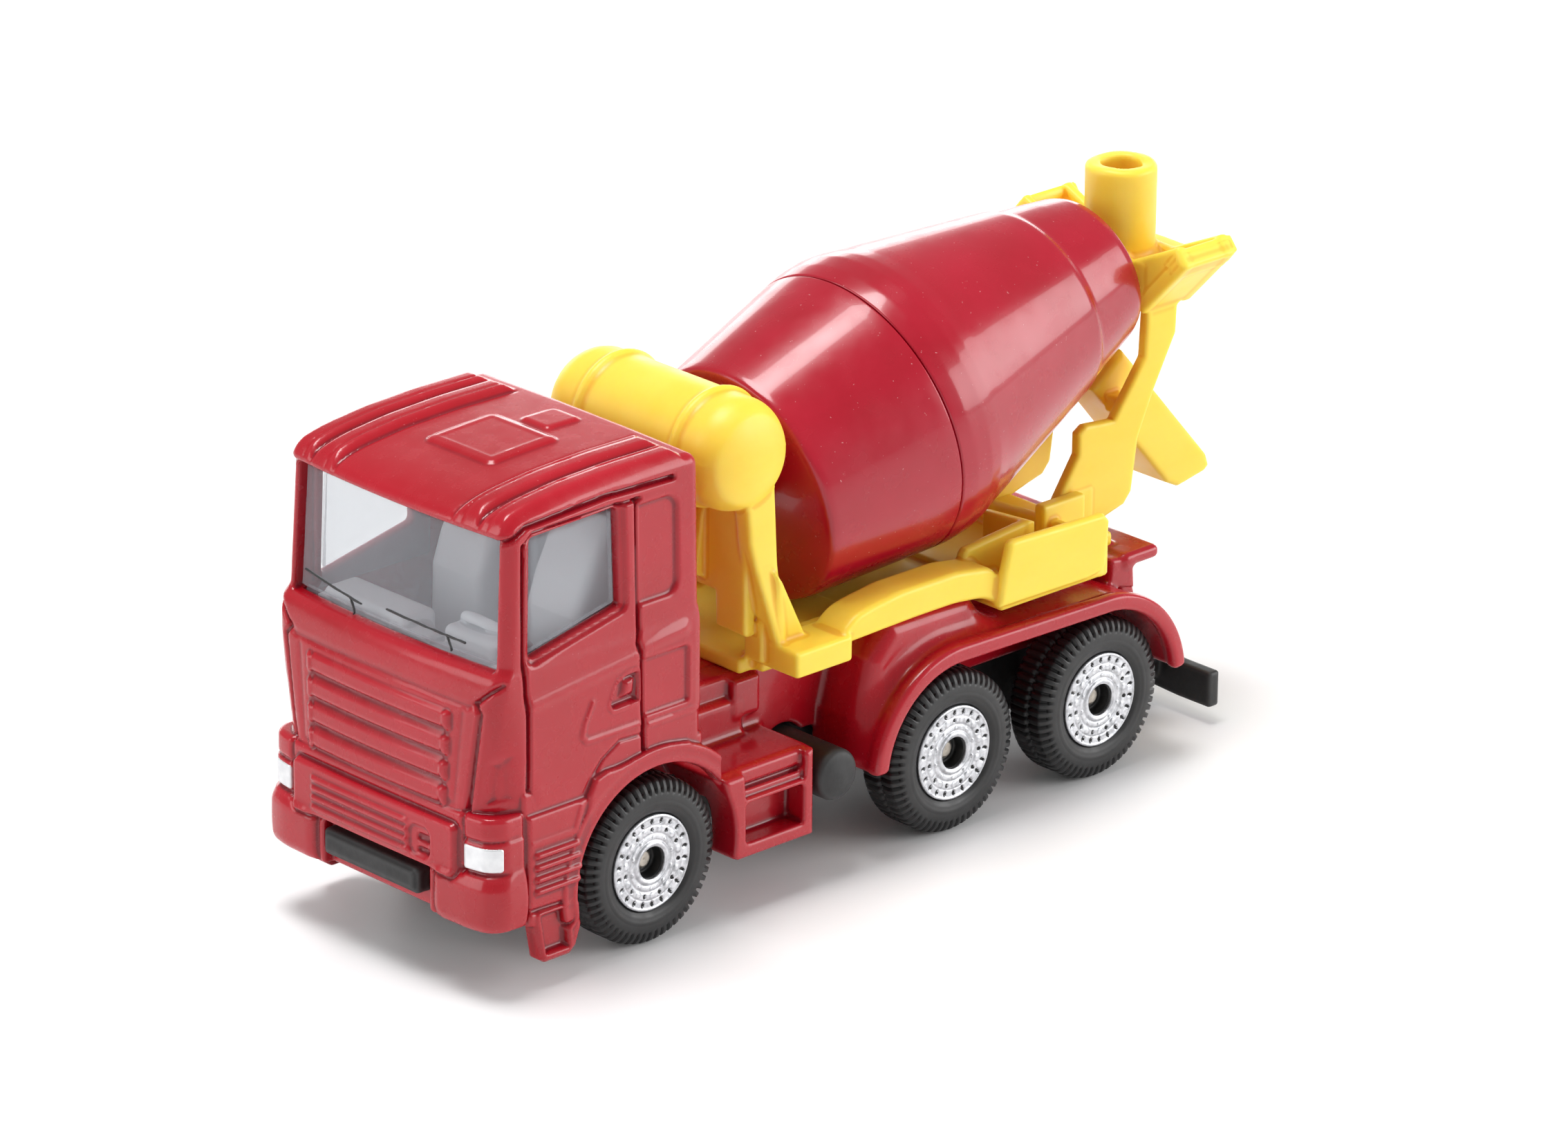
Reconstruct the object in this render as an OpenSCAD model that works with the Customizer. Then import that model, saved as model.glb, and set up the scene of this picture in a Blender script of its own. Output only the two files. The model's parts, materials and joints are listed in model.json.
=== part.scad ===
// Pocket-size die-cast cement mixer truck: cab and chassis casting, plastic base,
// glazing, seats, yellow mixer frame, rear hopper unit, chute, two-part drum, wheelsets.
// +X is the front of the truck, +Y its left side, +Z up. The wheels stand on z = 0.

/* [Wheels] */
// Diameter of every tyre
wheel_d = 12.8; // [12.4:0.1:13]
// Width of every tyre
wheel_w = 4.2; // [3.8:0.1:4.4]
// Distance between the outer faces of a pair of wheels
track = 24; // [23.6:0.1:24.2]
// Diameter of the silver hub face
hub_d = 7.5; // [7:0.1:8]
// Diameter of the steel axles
axle_d = 1.5; // [1.4:0.1:1.6]
// Front axle, forward of the middle of the truck
front_axle_x = 25.6; // [25.4:0.1:25.8]
// First rear axle
middle_axle_x = -5; // [-5.2:0.1:-4.8]
// Second rear axle
rear_axle_x = -20.5; // [-20.7:0.1:-20.3]

/* [Cab and chassis] */
// Width of the cab at the door
cab_w = 24.4; // [24.2:0.1:24.6]
// Width over the bumper
bumper_w = 25.8; // [25.4:0.1:26]
// Wall thickness of the casting
cast_wall = 1.2; // [1:0.1:1.3]
// Height of the chassis spine above the floor
deck_z = 16; // [15.9:0.1:16]
// Width of the chassis spine
spine_w = 12.6; // [12.4:0.1:12.8]
// Inner radius of the front wheel arch
arch_r = 7.8; // [7.6:0.1:8]
// Inner radius of the rear mudguards
guard_r = 7.6; // [7.4:0.1:7.8]

/* [Drum] */
// Largest radius of the drum, at its seam
drum_r = 11.6; // [11.4:0.1:11.7]
// Tilt of the drum axis, rising to the rear
drum_tilt = 13.3; // [13:0.1:13.6]
// Seam of the drum along the truck
drum_x = -5.4; // [-5.5:0.1:-5.3]
// Height of the drum axis at the seam
drum_z = 30; // [30:0.1:30.2]
// Wall thickness of the drum
drum_wall = 1; // [0.8:0.1:1.2]
// Radius of the drum's front spigot and of the rear bearing pin
spigot_r = 1.9; // [1.8:0.1:2]
// Radial play of every running fit
play = 0.06; // [0.04:0.01:0.08]

/* [Mixer frame] */
// Radius of the water tank
tank_r = 4.3; // [4.2:0.1:4.4]
// Length of the water tank
tank_l = 19.4; // [19:0.1:19.6]
// Width over the rear lockers
locker_w = 24.8; // [24.4:0.1:25]
// Thickness of the frame's plates
plate_t = 0.9; // [0.8:0.1:1]

/* [Rear unit] */
// Outer radius of the hopper tube
hopper_r = 2.8; // [2.7:0.1:2.9]
// Radius of the hole in the hopper tube
hopper_hole_r = 1.65; // [1.5:0.05:1.8]
// Height of the hopper's rim
hopper_z = 43.6; // [43:0.1:44]
// Width over the two legs
legs_w = 9.8; // [9.6:0.1:10]
// Width of the discharge chute
chute_w = 4.1; // [3.8:0.1:4.4]

/* [Hidden] */
$fn = 64;
axle_z = wheel_d / 2;
wheel_y = track / 2;                 // outer face of a wheel
hub_face = wheel_y - 0.3;            // face that carries the silver print
recess_depth = 1.1;                  // pocket in the hub that shows the axle end
foil_t = 0.12;
front_x = 42.3;                      // foremost point, the number plate carrier
rear_x = -42.3;                      // rearmost point, the tip of the chute
cab_rear = 20.9;
cab_floor = 14.4;
sill_z = 5.4;                        // underside of the bumper
base_z = 4.2;                        // underside of the base plate
base_t = 1.2;
spine_floor = 9.5;                   // lower edge of the chassis spine
spine_rear = -27.5;
step_z = 11.2;                       // top of the step unit and of the side deck
guard_w = 24.8;                      // width over the mudguards
guard_t = 1.4;
air_tank_x = 7.5;
air_tank_z = 8.7;
air_tank_r = 1.95;
rivet_r = 1.5;
arch_flat = 4.4;                     // lower end of the front arch lip
plate_w = 10.4;                      // width of the number plate carrier
bar_w = 20.8;                        // width of the rear underrun bar
rivet_x = [12.8, -12.75];
axle_x = [front_axle_x, middle_axle_x, rear_axle_x];
tray_z = deck_z + 0.05;
tray_t = 1.1;
saddle_z = 18;                       // raised seat of the frame on the mudguards
tank_x = 13.4;
tank_z = 33.7;
bulkhead_x = 11.9;
locker_front = -10.6;
locker_rear = -21.2;
hopper_x = -33.6;
leg_y = legs_w / 2;
drum_front_s = -11.8;                // stations along the drum axis from the seam
drum_step_s = 19;
drum_mouth_s = 25.4;
bearing_s = 22.6;
spigot_end_s = -19.2;

// ---- helpers ----

// Extrudes a side view (x, z) across the truck.
module across(w) {
    rotate([90, 0, 0])
        linear_extrude(w, center = true)
            children();
}

// Extrudes a front view (y, z) along the truck, from x0 to x1.
module lengthwise(x0, x1) {
    translate([x0, 0, 0])
        rotate([90, 0, 90])
            linear_extrude(x1 - x0)
                children();
}

// Draws the left side and its mirror image.
module both_sides() {
    children();
    mirror([0, 1, 0])
        children();
}

// A box between two corners.
module block(a, b) {
    translate(a)
        cube(b - a);
}

// A cylinder across the truck, from y0 to y1.
module rod(x, z, r, y0, y1) {
    translate([x, y0, z])
        rotate([-90, 0, 0])
            cylinder(r = r, h = y1 - y0);
}

// Places a child whose +Z runs rearwards along the drum axis, with the seam at its origin.
module on_drum_axis() {
    translate([drum_x, 0, drum_z])
        rotate([0, drum_tilt - 90, 0])
            children();
}

// ---- cab form, shared by the casting, its cavity and the glazing ----

module cab_side(inset) {
    offset(delta = -inset)
        offset(r = 0.6, $fn = 24)
            offset(delta = -0.6)
                polygon([[cab_rear, -5], [cab_rear, 34.9], [22.2, 36.7], [28, 37.3], [34, 37.2],
                         [37.6, 36.5], [39.6, 35.3], [40.3, 34.2], [41, 25], [41.9, 23.4],
                         [42.1, 13.4], [42.1, -5]]);
}

module cab_front(inset) {
    hw = cab_w / 2;
    offset(delta = -inset)
        offset(r = 1, $fn = 24)
            offset(delta = -1)
                polygon([[-hw, -5], [-hw, 25], [-hw + 0.5, 36], [-hw + 1.6, 37], [0, 37.5],
                         [hw - 1.6, 37], [hw - 0.5, 36], [hw, 25], [hw, -5]]);
}

module cab_plan(inset) {
    hw = cab_w / 2;
    offset(delta = -inset)
        polygon([[cab_rear, -hw], [38.2, -hw], [40.2, -hw + 0.5], [41.4, -hw + 1.7], [42.1, -7],
                 [42.1, 7], [41.4, hw - 1.7], [40.2, hw - 0.5], [38.2, hw], [cab_rear, hw]]);
}

module cab_form(inset) {
    intersection() {
        across(cab_w + 2) cab_side(inset);
        lengthwise(0, 60) cab_front(inset);
        translate([0, 0, -5])
            linear_extrude(50)
                cab_plan(inset);
    }
}

module side_window(inset) {
    offset(delta = -inset)
        offset(r = 0.5, $fn = 16)
            offset(delta = -0.5)
                polygon([[36.7, 34.3], [29.1, 34.5], [28.9, 27.5], [37, 25.7]]);
}

module windshield(inset) {
    offset(delta = -inset)
        offset(r = 0.6, $fn = 16)
            offset(delta = -0.6)
                polygon([[-10.7, 25], [10.7, 25], [10.6, 34.5], [-10.6, 34.5]]);
}

// ---- sub-parts ----

// Side walls of the cab below the door, down to the step and the mud flap.
module cab_skirt() {
    across(cab_w)
        polygon([[42.1, sill_z], [38.2, sill_z], [36.4, 1.9], [33.4, 1.9], [32.2, 4], [32.2, 15],
                 [42.1, 15]]);
}

module wheel_arch_lip() {
    both_sides()
        difference() {
            rod(front_axle_x, axle_z, arch_r + 1.4, cab_w / 2 - cast_wall, cab_w / 2 + 0.25);
            rod(front_axle_x, axle_z, arch_r, 5, 20);
            block([0, 0, -5], [50, 20, arch_flat]);
        }
}

module bumper() {
    intersection() {
        block([36.5, -bumper_w / 2, sill_z], [42.1, bumper_w / 2, 12.6]);
        linear_extrude(20)
            offset(r = 1.5, $fn = 24)
                offset(delta = -1.5)
                    polygon([[38.1, -bumper_w / 2], [40.6, -bumper_w / 2], [42.1, -9.4],
                             [42.1, 9.4], [40.6, bumper_w / 2], [38.1, bumper_w / 2],
                             [30, bumper_w / 2], [30, -bumper_w / 2]]);
    }
}

module grille_cuts() {
    for (i = [0 : 3])
        block([41.6, -7.2 + 0.1 * i, 15.6 + 1.9 * i], [45, 7.2 - 0.1 * i, 16.3 + 1.9 * i]);
    for (i = [0 : 2])
        block([41.7, -6.6, 10 + 0.8 * i], [45, 4.2, 10.3 + 0.8 * i]);
    block([41.7, 4.8, 9.9], [45, 6.6, 11.8]);
}

// Shut lines, door handle recess and rear-quarter panels of one side.
module side_cuts() {
    y0 = cab_w / 2 - 0.3;
    block([26.7, y0, 14], [27, 20, 33]);
    block([38, y0, 14], [38.3, 20, 25]);
    translate([0, y0, 0])
        across(0.6)
            polygon([[28.4, 22], [29.7, 20], [27.4, 20], [27.4, 22]]);
    block([22.1, y0, 18.2], [26.2, 20, 22.8]);
    block([22.3, y0, 25.6], [25.6, 20, 33.6]);
    for (i = [0 : 3])
        block([33.8, y0, 6.2 + 1.5 * i], [37.2, 20, 6.6 + 1.5 * i]);
}

module spine() {
    w = spine_w / 2;
    difference() {
        block([spine_rear, -w, spine_floor], [cab_rear + cast_wall, w, deck_z]);
        block([spine_rear + cast_wall, -w + cast_wall, spine_floor - 1],
              [cab_rear + 5, w - cast_wall, deck_z - cast_wall]);
    }
}

module mudguards() {
    rounded_r = guard_r + guard_t;
    both_sides()
        difference() {
            union() {
                rod(middle_axle_x, axle_z, rounded_r, spine_w / 2 - 0.5, guard_w / 2);
                rod(rear_axle_x, axle_z, rounded_r - 0.3, spine_w / 2 - 0.5, guard_w / 2);
                block([rear_axle_x, spine_w / 2 - 0.5, axle_z],
                      [middle_axle_x, guard_w / 2, axle_z + rounded_r]);
                block([-8.4, 7.1, 14], [2, 10.9, saddle_z]);
            }
            rod(middle_axle_x, axle_z, guard_r, 0, 20);
            rod(rear_axle_x, axle_z, guard_r - 0.2, 0, 20);
            block([rear_axle_x, 0, 0], [middle_axle_x, 20, axle_z + guard_r]);
            block([-40, 0, -5], [20, 20, 7.1]);
        }
}

// Step and locker unit behind each front wheel, with a ledge and an open pocket.
module step_units() {
    y1 = 12.4;
    both_sides()
        difference() {
            block([9.9, spine_w / 2 - 0.5, 4.3], [18.4, y1, step_z]);
            rod(front_axle_x, axle_z, arch_r, 0, 20);
            block([9.9 + cast_wall, 0, 0], [18.4 - cast_wall, y1 - cast_wall, step_z - cast_wall]);
            block([11, y1 - 0.7, 5.8], [16.9, 20, 8.4]);
            block([11, y1 - 0.7, 9.1], [16.9, 20, 10.2]);
        }
    both_sides()
        difference() {
            block([18, spine_w / 2 - 0.5, step_z - cast_wall], [cab_rear + 0.5, 11.6, step_z]);
            rod(front_axle_x, axle_z, arch_r, 0, 20);
        }
}

module rivet_posts() {
    for (x = rivet_x)
        translate([x, 0, 0]) {
            translate([0, 0, base_z + 0.1])
                cylinder(r = rivet_r, h = deck_z - base_z - 1);
            translate([0, 0, base_z + 0.05])
                cylinder(r = rivet_r + 0.6, h = 0.5);
        }
}

module body_casting() {
    color("firebrick") {
        difference() {
            union() {
                cab_form(0);
                bumper();
                wheel_arch_lip();
                cab_skirt();
            }
            difference() {
                cab_form(cast_wall);
                block([0, -20, 0], [cab_rear + cast_wall, 20, 60]);
            }
            block([cab_rear + cast_wall, -11, -6], [40.6, 11, 20]);
            difference() {
                block([0, -20, -6], [32.2, 20, cab_floor]);
                for (side = [-1, 1])
                    rod(front_axle_x, axle_z, arch_r + 1.4, side * 12 - 1, side * 12 + 1);
                block([0, -8, 8], [cab_rear + cast_wall, 8, cab_floor]);
            }
            both_sides()
                rod(front_axle_x, axle_z, arch_r, 5, 20);
            block([0, -20, -6], [60, 20, 1.9]);
            block([36.5, -20, -6], [60, 20, sill_z]);
            lengthwise(36, 60) windshield(0);
            across(60) side_window(0);
            grille_cuts();
            both_sides() side_cuts();
            block([38, -plate_w / 2 - 0.5, 5], [50, plate_w / 2 + 0.5, 8.9]);
        }
        difference() {
            union() {
                spine();
                mudguards();
                step_units();
                block([-30.6, -8.6, 14.4], [spine_rear + 2, 8.6, 15.8]);
                block([9.2, -7, 11], [14, 7, 15.6]);
            }
            rod(air_tank_x, air_tank_z, air_tank_r + 0.15, -20, 20);
            block([spine_rear + cast_wall, -spine_w / 2 + cast_wall, 0],
                  [cab_rear + 5, spine_w / 2 - cast_wall, deck_z - cast_wall]);
        }
        rivet_posts();
    }
}

module axle_bores() {
    for (x = axle_x)
        rod(x, axle_z, axle_d / 2 + play, -20, 20);
}

module base_plate() {
    w = spine_w / 2 - cast_wall - 0.1;
    color("dimgray")
        difference() {
            union() {
                block([-27, -w, base_z], [38, w, base_z + base_t]);
                both_sides()
                    block([-26, w - 1.2, base_z], [20, w, spine_floor + 0.8]);
                both_sides()
                    block([cab_rear + cast_wall + 0.3, w - 1.2, base_z], [37, w, cab_floor + 0.1]);
                block([35.5, -4.6, base_z], [41, 4.6, 7.2]);
                block([40.9, -plate_w / 2 + 0.1, 6], [41.9, plate_w / 2 - 0.1, 7.3]);
                block([40.9, -plate_w / 2, 7.2], [front_x, plate_w / 2, 8.5]);
                both_sides() {
                    rod(air_tank_x, air_tank_z, air_tank_r, w - 1, wheel_y - 0.5);
                    intersection() {
                        translate([air_tank_x, wheel_y - 2, air_tank_z])
                            sphere(r = 2.45);
                        rod(air_tank_x, air_tank_z, air_tank_r, wheel_y - 0.6, wheel_y + 1);
                    }
                }
                both_sides()
                    bar_arm();
                block([-35.1, -bar_w / 2, 1.5], [-34, bar_w / 2, base_z + 0.1]);
            }
            axle_bores();
            for (x = rivet_x)
                translate([x, 0, 0]) {
                    cylinder(r = rivet_r + 0.1, h = 20);
                    cylinder(r = rivet_r + 0.7, h = base_z + 0.6);
                }
        }
}

// One arm that carries the rear underrun bar.
module bar_arm() {
    translate([0, 4, 0])
        across(1.6)
            polygon([[-26, base_z], [-26, base_z + 2.6], [-28, base_z + 2.6], [-34.2, 4.3],
                     [-34.2, 2.2], [-30, 3.6]]);
}

module window_glazing() {
    gap = 0.05;
    color("lightcyan", 0.5) {
        difference() {
            cab_form(cast_wall + gap);
            cab_form(cast_wall + 0.75);
            block([0, -20, -10], [60, 20, 24.2]);
            block([0, -20, 0], [27, 20, 60]);
        }
        difference() {
            intersection() {
                cab_form(0.45);
                union() {
                    lengthwise(36, 60) windshield(0.08);
                    across(60) side_window(0.08);
                }
            }
            cab_form(cast_wall + 0.4);
        }
    }
}

module seat(y) {
    translate([0, y, 0])
        across(6.2)
            polygon([[23, 15.5], [31, 15.5], [31.4, 18.6], [30.8, 19.2], [26.4, 18.4],
                     [25.1, 26.8], [25.4, 27.4], [25, 30.4], [23.6, 30.4], [23, 27]]);
}

module cab_interior() {
    color("gainsboro") {
        block([22.5, -9.6, cab_floor + 0.15], [38.6, 9.6, 15.6]);
        seat(5.2);
        seat(-5.2);
        block([26, -1.9, 15.5], [35, 1.9, 18]);
        across(19.2)
            polygon([[35, 15.5], [35.2, 21.6], [36.2, 23.4], [38.6, 23.8], [39, 15.5]]);
        steering_wheel();
    }
}

// Rim, spokes and column, tilted towards the driver.
module steering_wheel() {
    rim_r = 2.5;
    translate([34.3, 5.2, 21.8])
        rotate([0, -62, 0]) {
            rotate_extrude()
                translate([rim_r, 0])
                    circle(r = 0.4, $fn = 24);
            block([-rim_r, -0.3, -0.3], [rim_r, 0.3, 0.3]);
            translate([0, 0, -2.4])
                cylinder(r = 0.5, h = 2.6);
        }
}

module water_tank() {
    end_r = 9;
    difference() {
        rod(tank_x, tank_z, tank_r, -tank_l / 2, tank_l / 2);
        both_sides()
            difference() {
                block([0, tank_l / 2 - 1.2, 20], [30, tank_l / 2 + 1, 50]);
                translate([tank_x, tank_l / 2 - end_r, tank_z])
                    sphere(r = end_r);
            }
    }
    both_sides()
        rod(tank_x, tank_z, tank_r + 0.4, 4.6, 6);
}

// Slanted post from the tank down to its foot, with a gusset behind it.
module frame_post() {
    lengthwise(11, 13.4)
        polygon([[7, 31], [8.8, 31], [11.4, 19], [8.6, 17.5], [8, 22]]);
    translate([0, 9.4, 0])
        across(1.6)
            polygon([[11.4, 17], [11.4, 23.4], [10.8, 23.4], [7.6, 18.6], [7.6, 17]]);
    block([5.8, 7.9, 16.8], [11.4, wheel_y, 18.9]);
}

module bulkhead() {
    difference() {
        union() {
            block([bulkhead_x, -7.6, 19.6], [bulkhead_x + 1.2, 7.6, 31]);
            both_sides()
                block([bulkhead_x, 4.8, tray_z], [bulkhead_x + 1.2, 7.6, 20]);
            both_sides()
                block([4, 6, tray_z], [bulkhead_x + 1, 8.6, 17.6]);
            on_drum_axis()
                translate([0, 0, spigot_end_s - 0.4])
                    cylinder(r = 3.4, h = 3.4);
        }
        on_drum_axis()
            translate([0, 0, spigot_end_s - 0.8])
                cylinder(r = spigot_r + play, h = 6);
    }
}

// Side beam that follows the mudguard, and the rear locker with its open compartment.
module side_beam() {
    translate([0, 10, 0])
        across(3.2)
            polygon([[6.2, saddle_z + 0.05], [6.2, 20.2], [0.6, 20.7], [-5.2, 20.7], [-8.6, 20.4],
                     [-9, 18.8], [-12, 18.6], [-12, 16.9], [-9.7, 16.9], [-8.5, saddle_z + 0.05]]);
    locker();
}

module locker() {
    y1 = locker_w / 2;
    z0 = deck_z + 0.35;
    block([locker_rear, 7, z0], [locker_front, y1, z0 + 0.9]);
    translate([0, y1 - plate_t / 2, 0])
        across(plate_t)
            offset(r = 0.7, $fn = 16)
                offset(delta = -0.7)
                    polygon([[locker_front, z0], [locker_front, 21.8], [locker_rear, 21.2],
                             [locker_rear, z0 + 1], [locker_rear + 1, z0]]);
    translate([0, 8.2, 0])
        across(plate_t)
            polygon([[-9, z0], [-9, 20.4], [-15.6, 21.4], [-21, 21.2], [-21, z0]]);
    block([-16, 6.6, z0], [-15.2, y1 - 0.3, 21.4]);
}

// Socket cheeks that grip the foot of one leg.
module leg_socket() {
    block([-26.4, leg_y + 0.05, tray_z], [-22.2, leg_y + 0.85, 20.2]);
    block([-26.4, leg_y - 1.9, tray_z], [-22.2, leg_y - 1.05, 19]);
}

module mixer_frame() {
    color("gold")
        difference() {
            union() {
                block([-26.4, -7, tray_z], [12, 7, tray_z + tray_t]);
                water_tank();
                bulkhead();
                both_sides() {
                    frame_post();
                    side_beam();
                    leg_socket();
                }
                block([-22.2, -locker_w / 2 + 1, tray_z + 0.3], [-21.2, locker_w / 2 - 1, 19.8]);
            }
            block([-40, -7.3, 0], [5, 7.3, tray_z]);
        }
}

module leg() {
    translate([0, leg_y - 0.5, 0])
        across(1)
            polygon([[-22.5, tray_z + tray_t], [-22.5, 20], [-24.7, 23.2], [-24.7, 24.9],
                     [-25.5, 25.4], [-28.5, 25.1], [-31.7, 29.4], [-31.9, 33.4], [-31.3, 34.6],
                     [-31.3, 37], [-36.2, 37], [-36.2, 34.4], [-35.2, 33], [-35.1, 30.7],
                     [-32.8, 26.5], [-31.2, 23], [-30.6, 18.8], [-29.8, 17.9], [-28.2, 17.5],
                     [-26.4, tray_z + tray_t]]);
}

// Flared wing of the catch pan, left side.
module pan_wall(x) {
    lengthwise(x, x + 0.8)
        polygon([[0, 35.2], [0, 37], [3, 37], [8.3, 39], [9.2, 37.8], [4.7, 33.3], [0, 33.3]]);
}

module hopper_unit() {
    color("gold")
        difference() {
            union() {
                both_sides() {
                    leg();
                    pan_wall(-32.1);
                    pan_wall(-36.2);
                    lengthwise(-36.2, -31.3)
                        polygon([[4.7, 33.3], [9.2, 37.8], [8.6, 38.4], [4.1, 33.9]]);
                }
                block([-38.4, -4.2, 35.2], [-31.3, 4.2, 36.2]);
                translate([hopper_x, 0, 35.4])
                    cylinder(r = hopper_r, h = hopper_z - 35.4);
                on_drum_axis()
                    translate([0, 0, bearing_s - 0.6])
                        cylinder(r = spigot_r, h = 5.2);
            }
            translate([hopper_x, 0, 37.5])
                cylinder(r = hopper_hole_r, h = 20);
        }
}

module discharge_chute() {
    color("gold") {
        difference() {
            across(chute_w)
                offset(r = 0.5, $fn = 16)
                    offset(delta = -0.5)
                        polygon([[-29.1, 26.6], [-32.2, 29.2], [-41.9, 18.1], [rear_x, 17.3],
                                 [-41.8, 16.7], [-38.4, 16.2], [-37.6, 16.9]]);
            across(chute_w - 1.6)
                polygon([[-29.2, 28.3], [-32, 30], [-44, 17.9], [-40.9, 15.4]]);
        }
        both_sides()
            block([-31.8, chute_w / 2 - 0.1, 24.6], [-30.2, leg_y - 1, 26]);
    }
}

// Closed front half of the drum with its spigot; points are radius and station along the axis.
module drum_front_half() {
    color("crimson")
        on_drum_axis() {
            rotate_extrude($fn = 128)
                polygon([[0, drum_front_s], [9.2, drum_front_s], [9.7, drum_front_s + 0.4],
                         [drum_r, 0], [drum_r - drum_wall, 0],
                         [8.8, drum_front_s + drum_wall], [0, drum_front_s + drum_wall]]);
            translate([0, 0, spigot_end_s])
                cylinder(r = spigot_r, h = drum_front_s - spigot_end_s + 0.5);
        }
}

// Open rear half, with a tongue inside the front half and a web that turns on the rear pin.
module drum_rear_half() {
    r0 = spigot_r + play;
    color("crimson")
        on_drum_axis()
            rotate_extrude($fn = 128)
                polygon([[drum_r, 0.04], [drum_r + 0.1, 2], [drum_r, 4], [11, 7], [9.4, 13],
                         [7.9, drum_step_s], [7.5, drum_step_s + 0.3], [6.3, drum_mouth_s - 0.6],
                         [5.8, drum_mouth_s], [5, drum_mouth_s], [5, bearing_s + 1.2],
                         [r0, bearing_s + 1.2], [r0, bearing_s],
                         [5.4, bearing_s], [6.9, drum_step_s], [10, 7],
                         [drum_r - drum_wall - 1, 3], [drum_r - drum_wall - 1, -1.5],
                         [drum_r - drum_wall - 0.35, -1.5], [drum_r - drum_wall - 0.35, 0.04]]);
}

module axle(x) {
    color("silver")
        rod(x, axle_z, axle_d / 2, -hub_face + recess_depth - 0.3, hub_face - recess_depth + 0.3);
}

// Left wheel: one moulding with a rounded tyre, a flat hub face and the axle pocket.
module wheel(x) {
    r = wheel_d / 2;
    y0 = wheel_y - wheel_w;
    hub_r = hub_d / 2;
    color("#202022")
        translate([x, 0, axle_z])
            rotate([-90, 0, 0])
                rotate_extrude()
                    polygon([[axle_d / 2, y0 + 0.4], [r - 1.8, y0 + 0.4], [r - 1.4, y0],
                             [r - 0.5, y0 + 0.3], [r, y0 + 0.9], [r, wheel_y - 1.2],
                             [r - 0.4, wheel_y - 0.5], [r - 1.4, wheel_y],
                             [hub_r + 0.3, wheel_y - 0.1], [hub_r, hub_face], [1.25, hub_face],
                             [1.25, hub_face - recess_depth], [axle_d / 2, hub_face - recess_depth]]);
}

// Silver print on the hub face of a left wheel.
module hub_print(x) {
    color("silver")
        difference() {
            rod(x, axle_z, hub_d / 2 - 0.05, hub_face, hub_face + foil_t);
            rod(x, axle_z, 1.3, 0, 20);
        }
}

body_casting();
base_plate();
window_glazing();
cab_interior();
mixer_frame();
hopper_unit();
discharge_chute();
drum_front_half();
drum_rear_half();
axle(front_axle_x);  // front_axle
axle(middle_axle_x);  // middle_axle
axle(rear_axle_x);  // rear_axle
wheel(front_axle_x);  // front_wheel_left
mirror([0, 1, 0]) wheel(front_axle_x);  // front_wheel_right
wheel(middle_axle_x);  // middle_wheel_left
mirror([0, 1, 0]) wheel(middle_axle_x);  // middle_wheel_right
wheel(rear_axle_x);  // rear_wheel_left
mirror([0, 1, 0]) wheel(rear_axle_x);  // rear_wheel_right
hub_print(front_axle_x);  // front_hub_print_left
mirror([0, 1, 0]) hub_print(front_axle_x);  // front_hub_print_right
hub_print(middle_axle_x);  // middle_hub_print_left
mirror([0, 1, 0]) hub_print(middle_axle_x);  // middle_hub_print_right
hub_print(rear_axle_x);  // rear_hub_print_left
mirror([0, 1, 0]) hub_print(rear_axle_x);  // rear_hub_print_right
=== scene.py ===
"""Toy cement mixer truck: the detailed visual model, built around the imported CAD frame.

Shapes are written as signed distances in millimetres (negative inside) and meshed by
sculpt(); round parts are turned from profiles by lathe(). Pieces end up in metres.
"""
import json
import math

import bpy
import numpy as np
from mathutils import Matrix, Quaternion, Vector


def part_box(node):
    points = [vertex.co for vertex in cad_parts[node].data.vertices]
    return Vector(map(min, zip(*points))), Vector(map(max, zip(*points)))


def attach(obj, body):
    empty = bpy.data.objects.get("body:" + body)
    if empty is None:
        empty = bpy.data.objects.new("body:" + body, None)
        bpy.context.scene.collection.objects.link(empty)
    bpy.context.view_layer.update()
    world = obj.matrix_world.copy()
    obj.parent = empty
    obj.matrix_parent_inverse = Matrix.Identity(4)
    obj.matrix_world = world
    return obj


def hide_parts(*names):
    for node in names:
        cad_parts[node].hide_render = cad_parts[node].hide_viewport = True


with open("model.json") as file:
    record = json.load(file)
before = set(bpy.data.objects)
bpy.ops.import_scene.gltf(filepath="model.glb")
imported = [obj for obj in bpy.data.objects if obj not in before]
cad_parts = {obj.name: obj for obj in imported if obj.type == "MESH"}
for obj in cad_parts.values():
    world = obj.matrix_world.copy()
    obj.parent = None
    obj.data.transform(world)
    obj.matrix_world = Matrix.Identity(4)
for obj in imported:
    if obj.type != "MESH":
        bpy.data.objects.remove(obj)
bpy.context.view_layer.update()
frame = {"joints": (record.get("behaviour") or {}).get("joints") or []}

MM = 0.001
CELL = 0.17      # mesh cell of the castings and mouldings, mm


# ---------------------------------------------------------------- distances

def hypot(a, b):
    return np.sqrt(a * a + b * b)


def cross(a, b, r=0):
    """Common part of two shapes, with its edge rounded to radius r."""
    return np.minimum(-r, np.maximum(a, b)) + hypot(np.maximum(r + a, 0), np.maximum(r + b, 0))


def join(a, b, r=0):
    """Both shapes, with a fillet of radius r where they meet."""
    return -cross(-a, -b, r)


def cut(a, b, r=0):
    """The first shape without the second, with edges rounded to radius r."""
    return cross(a, -b, r)


def slab(w, w0, w1):
    return np.abs(w - (w0 + w1) / 2) - (w1 - w0) / 2


def rect(u, v, u0, u1, v0, v1, r=0):
    du = slab(u, u0, u1) + r
    dv = slab(v, v0, v1) + r
    return hypot(np.maximum(du, 0), np.maximum(dv, 0)) + np.minimum(np.maximum(du, dv), 0) - r


def disc(u, v, cu, cv, r):
    return hypot(u - cu, v - cv) - r


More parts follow.
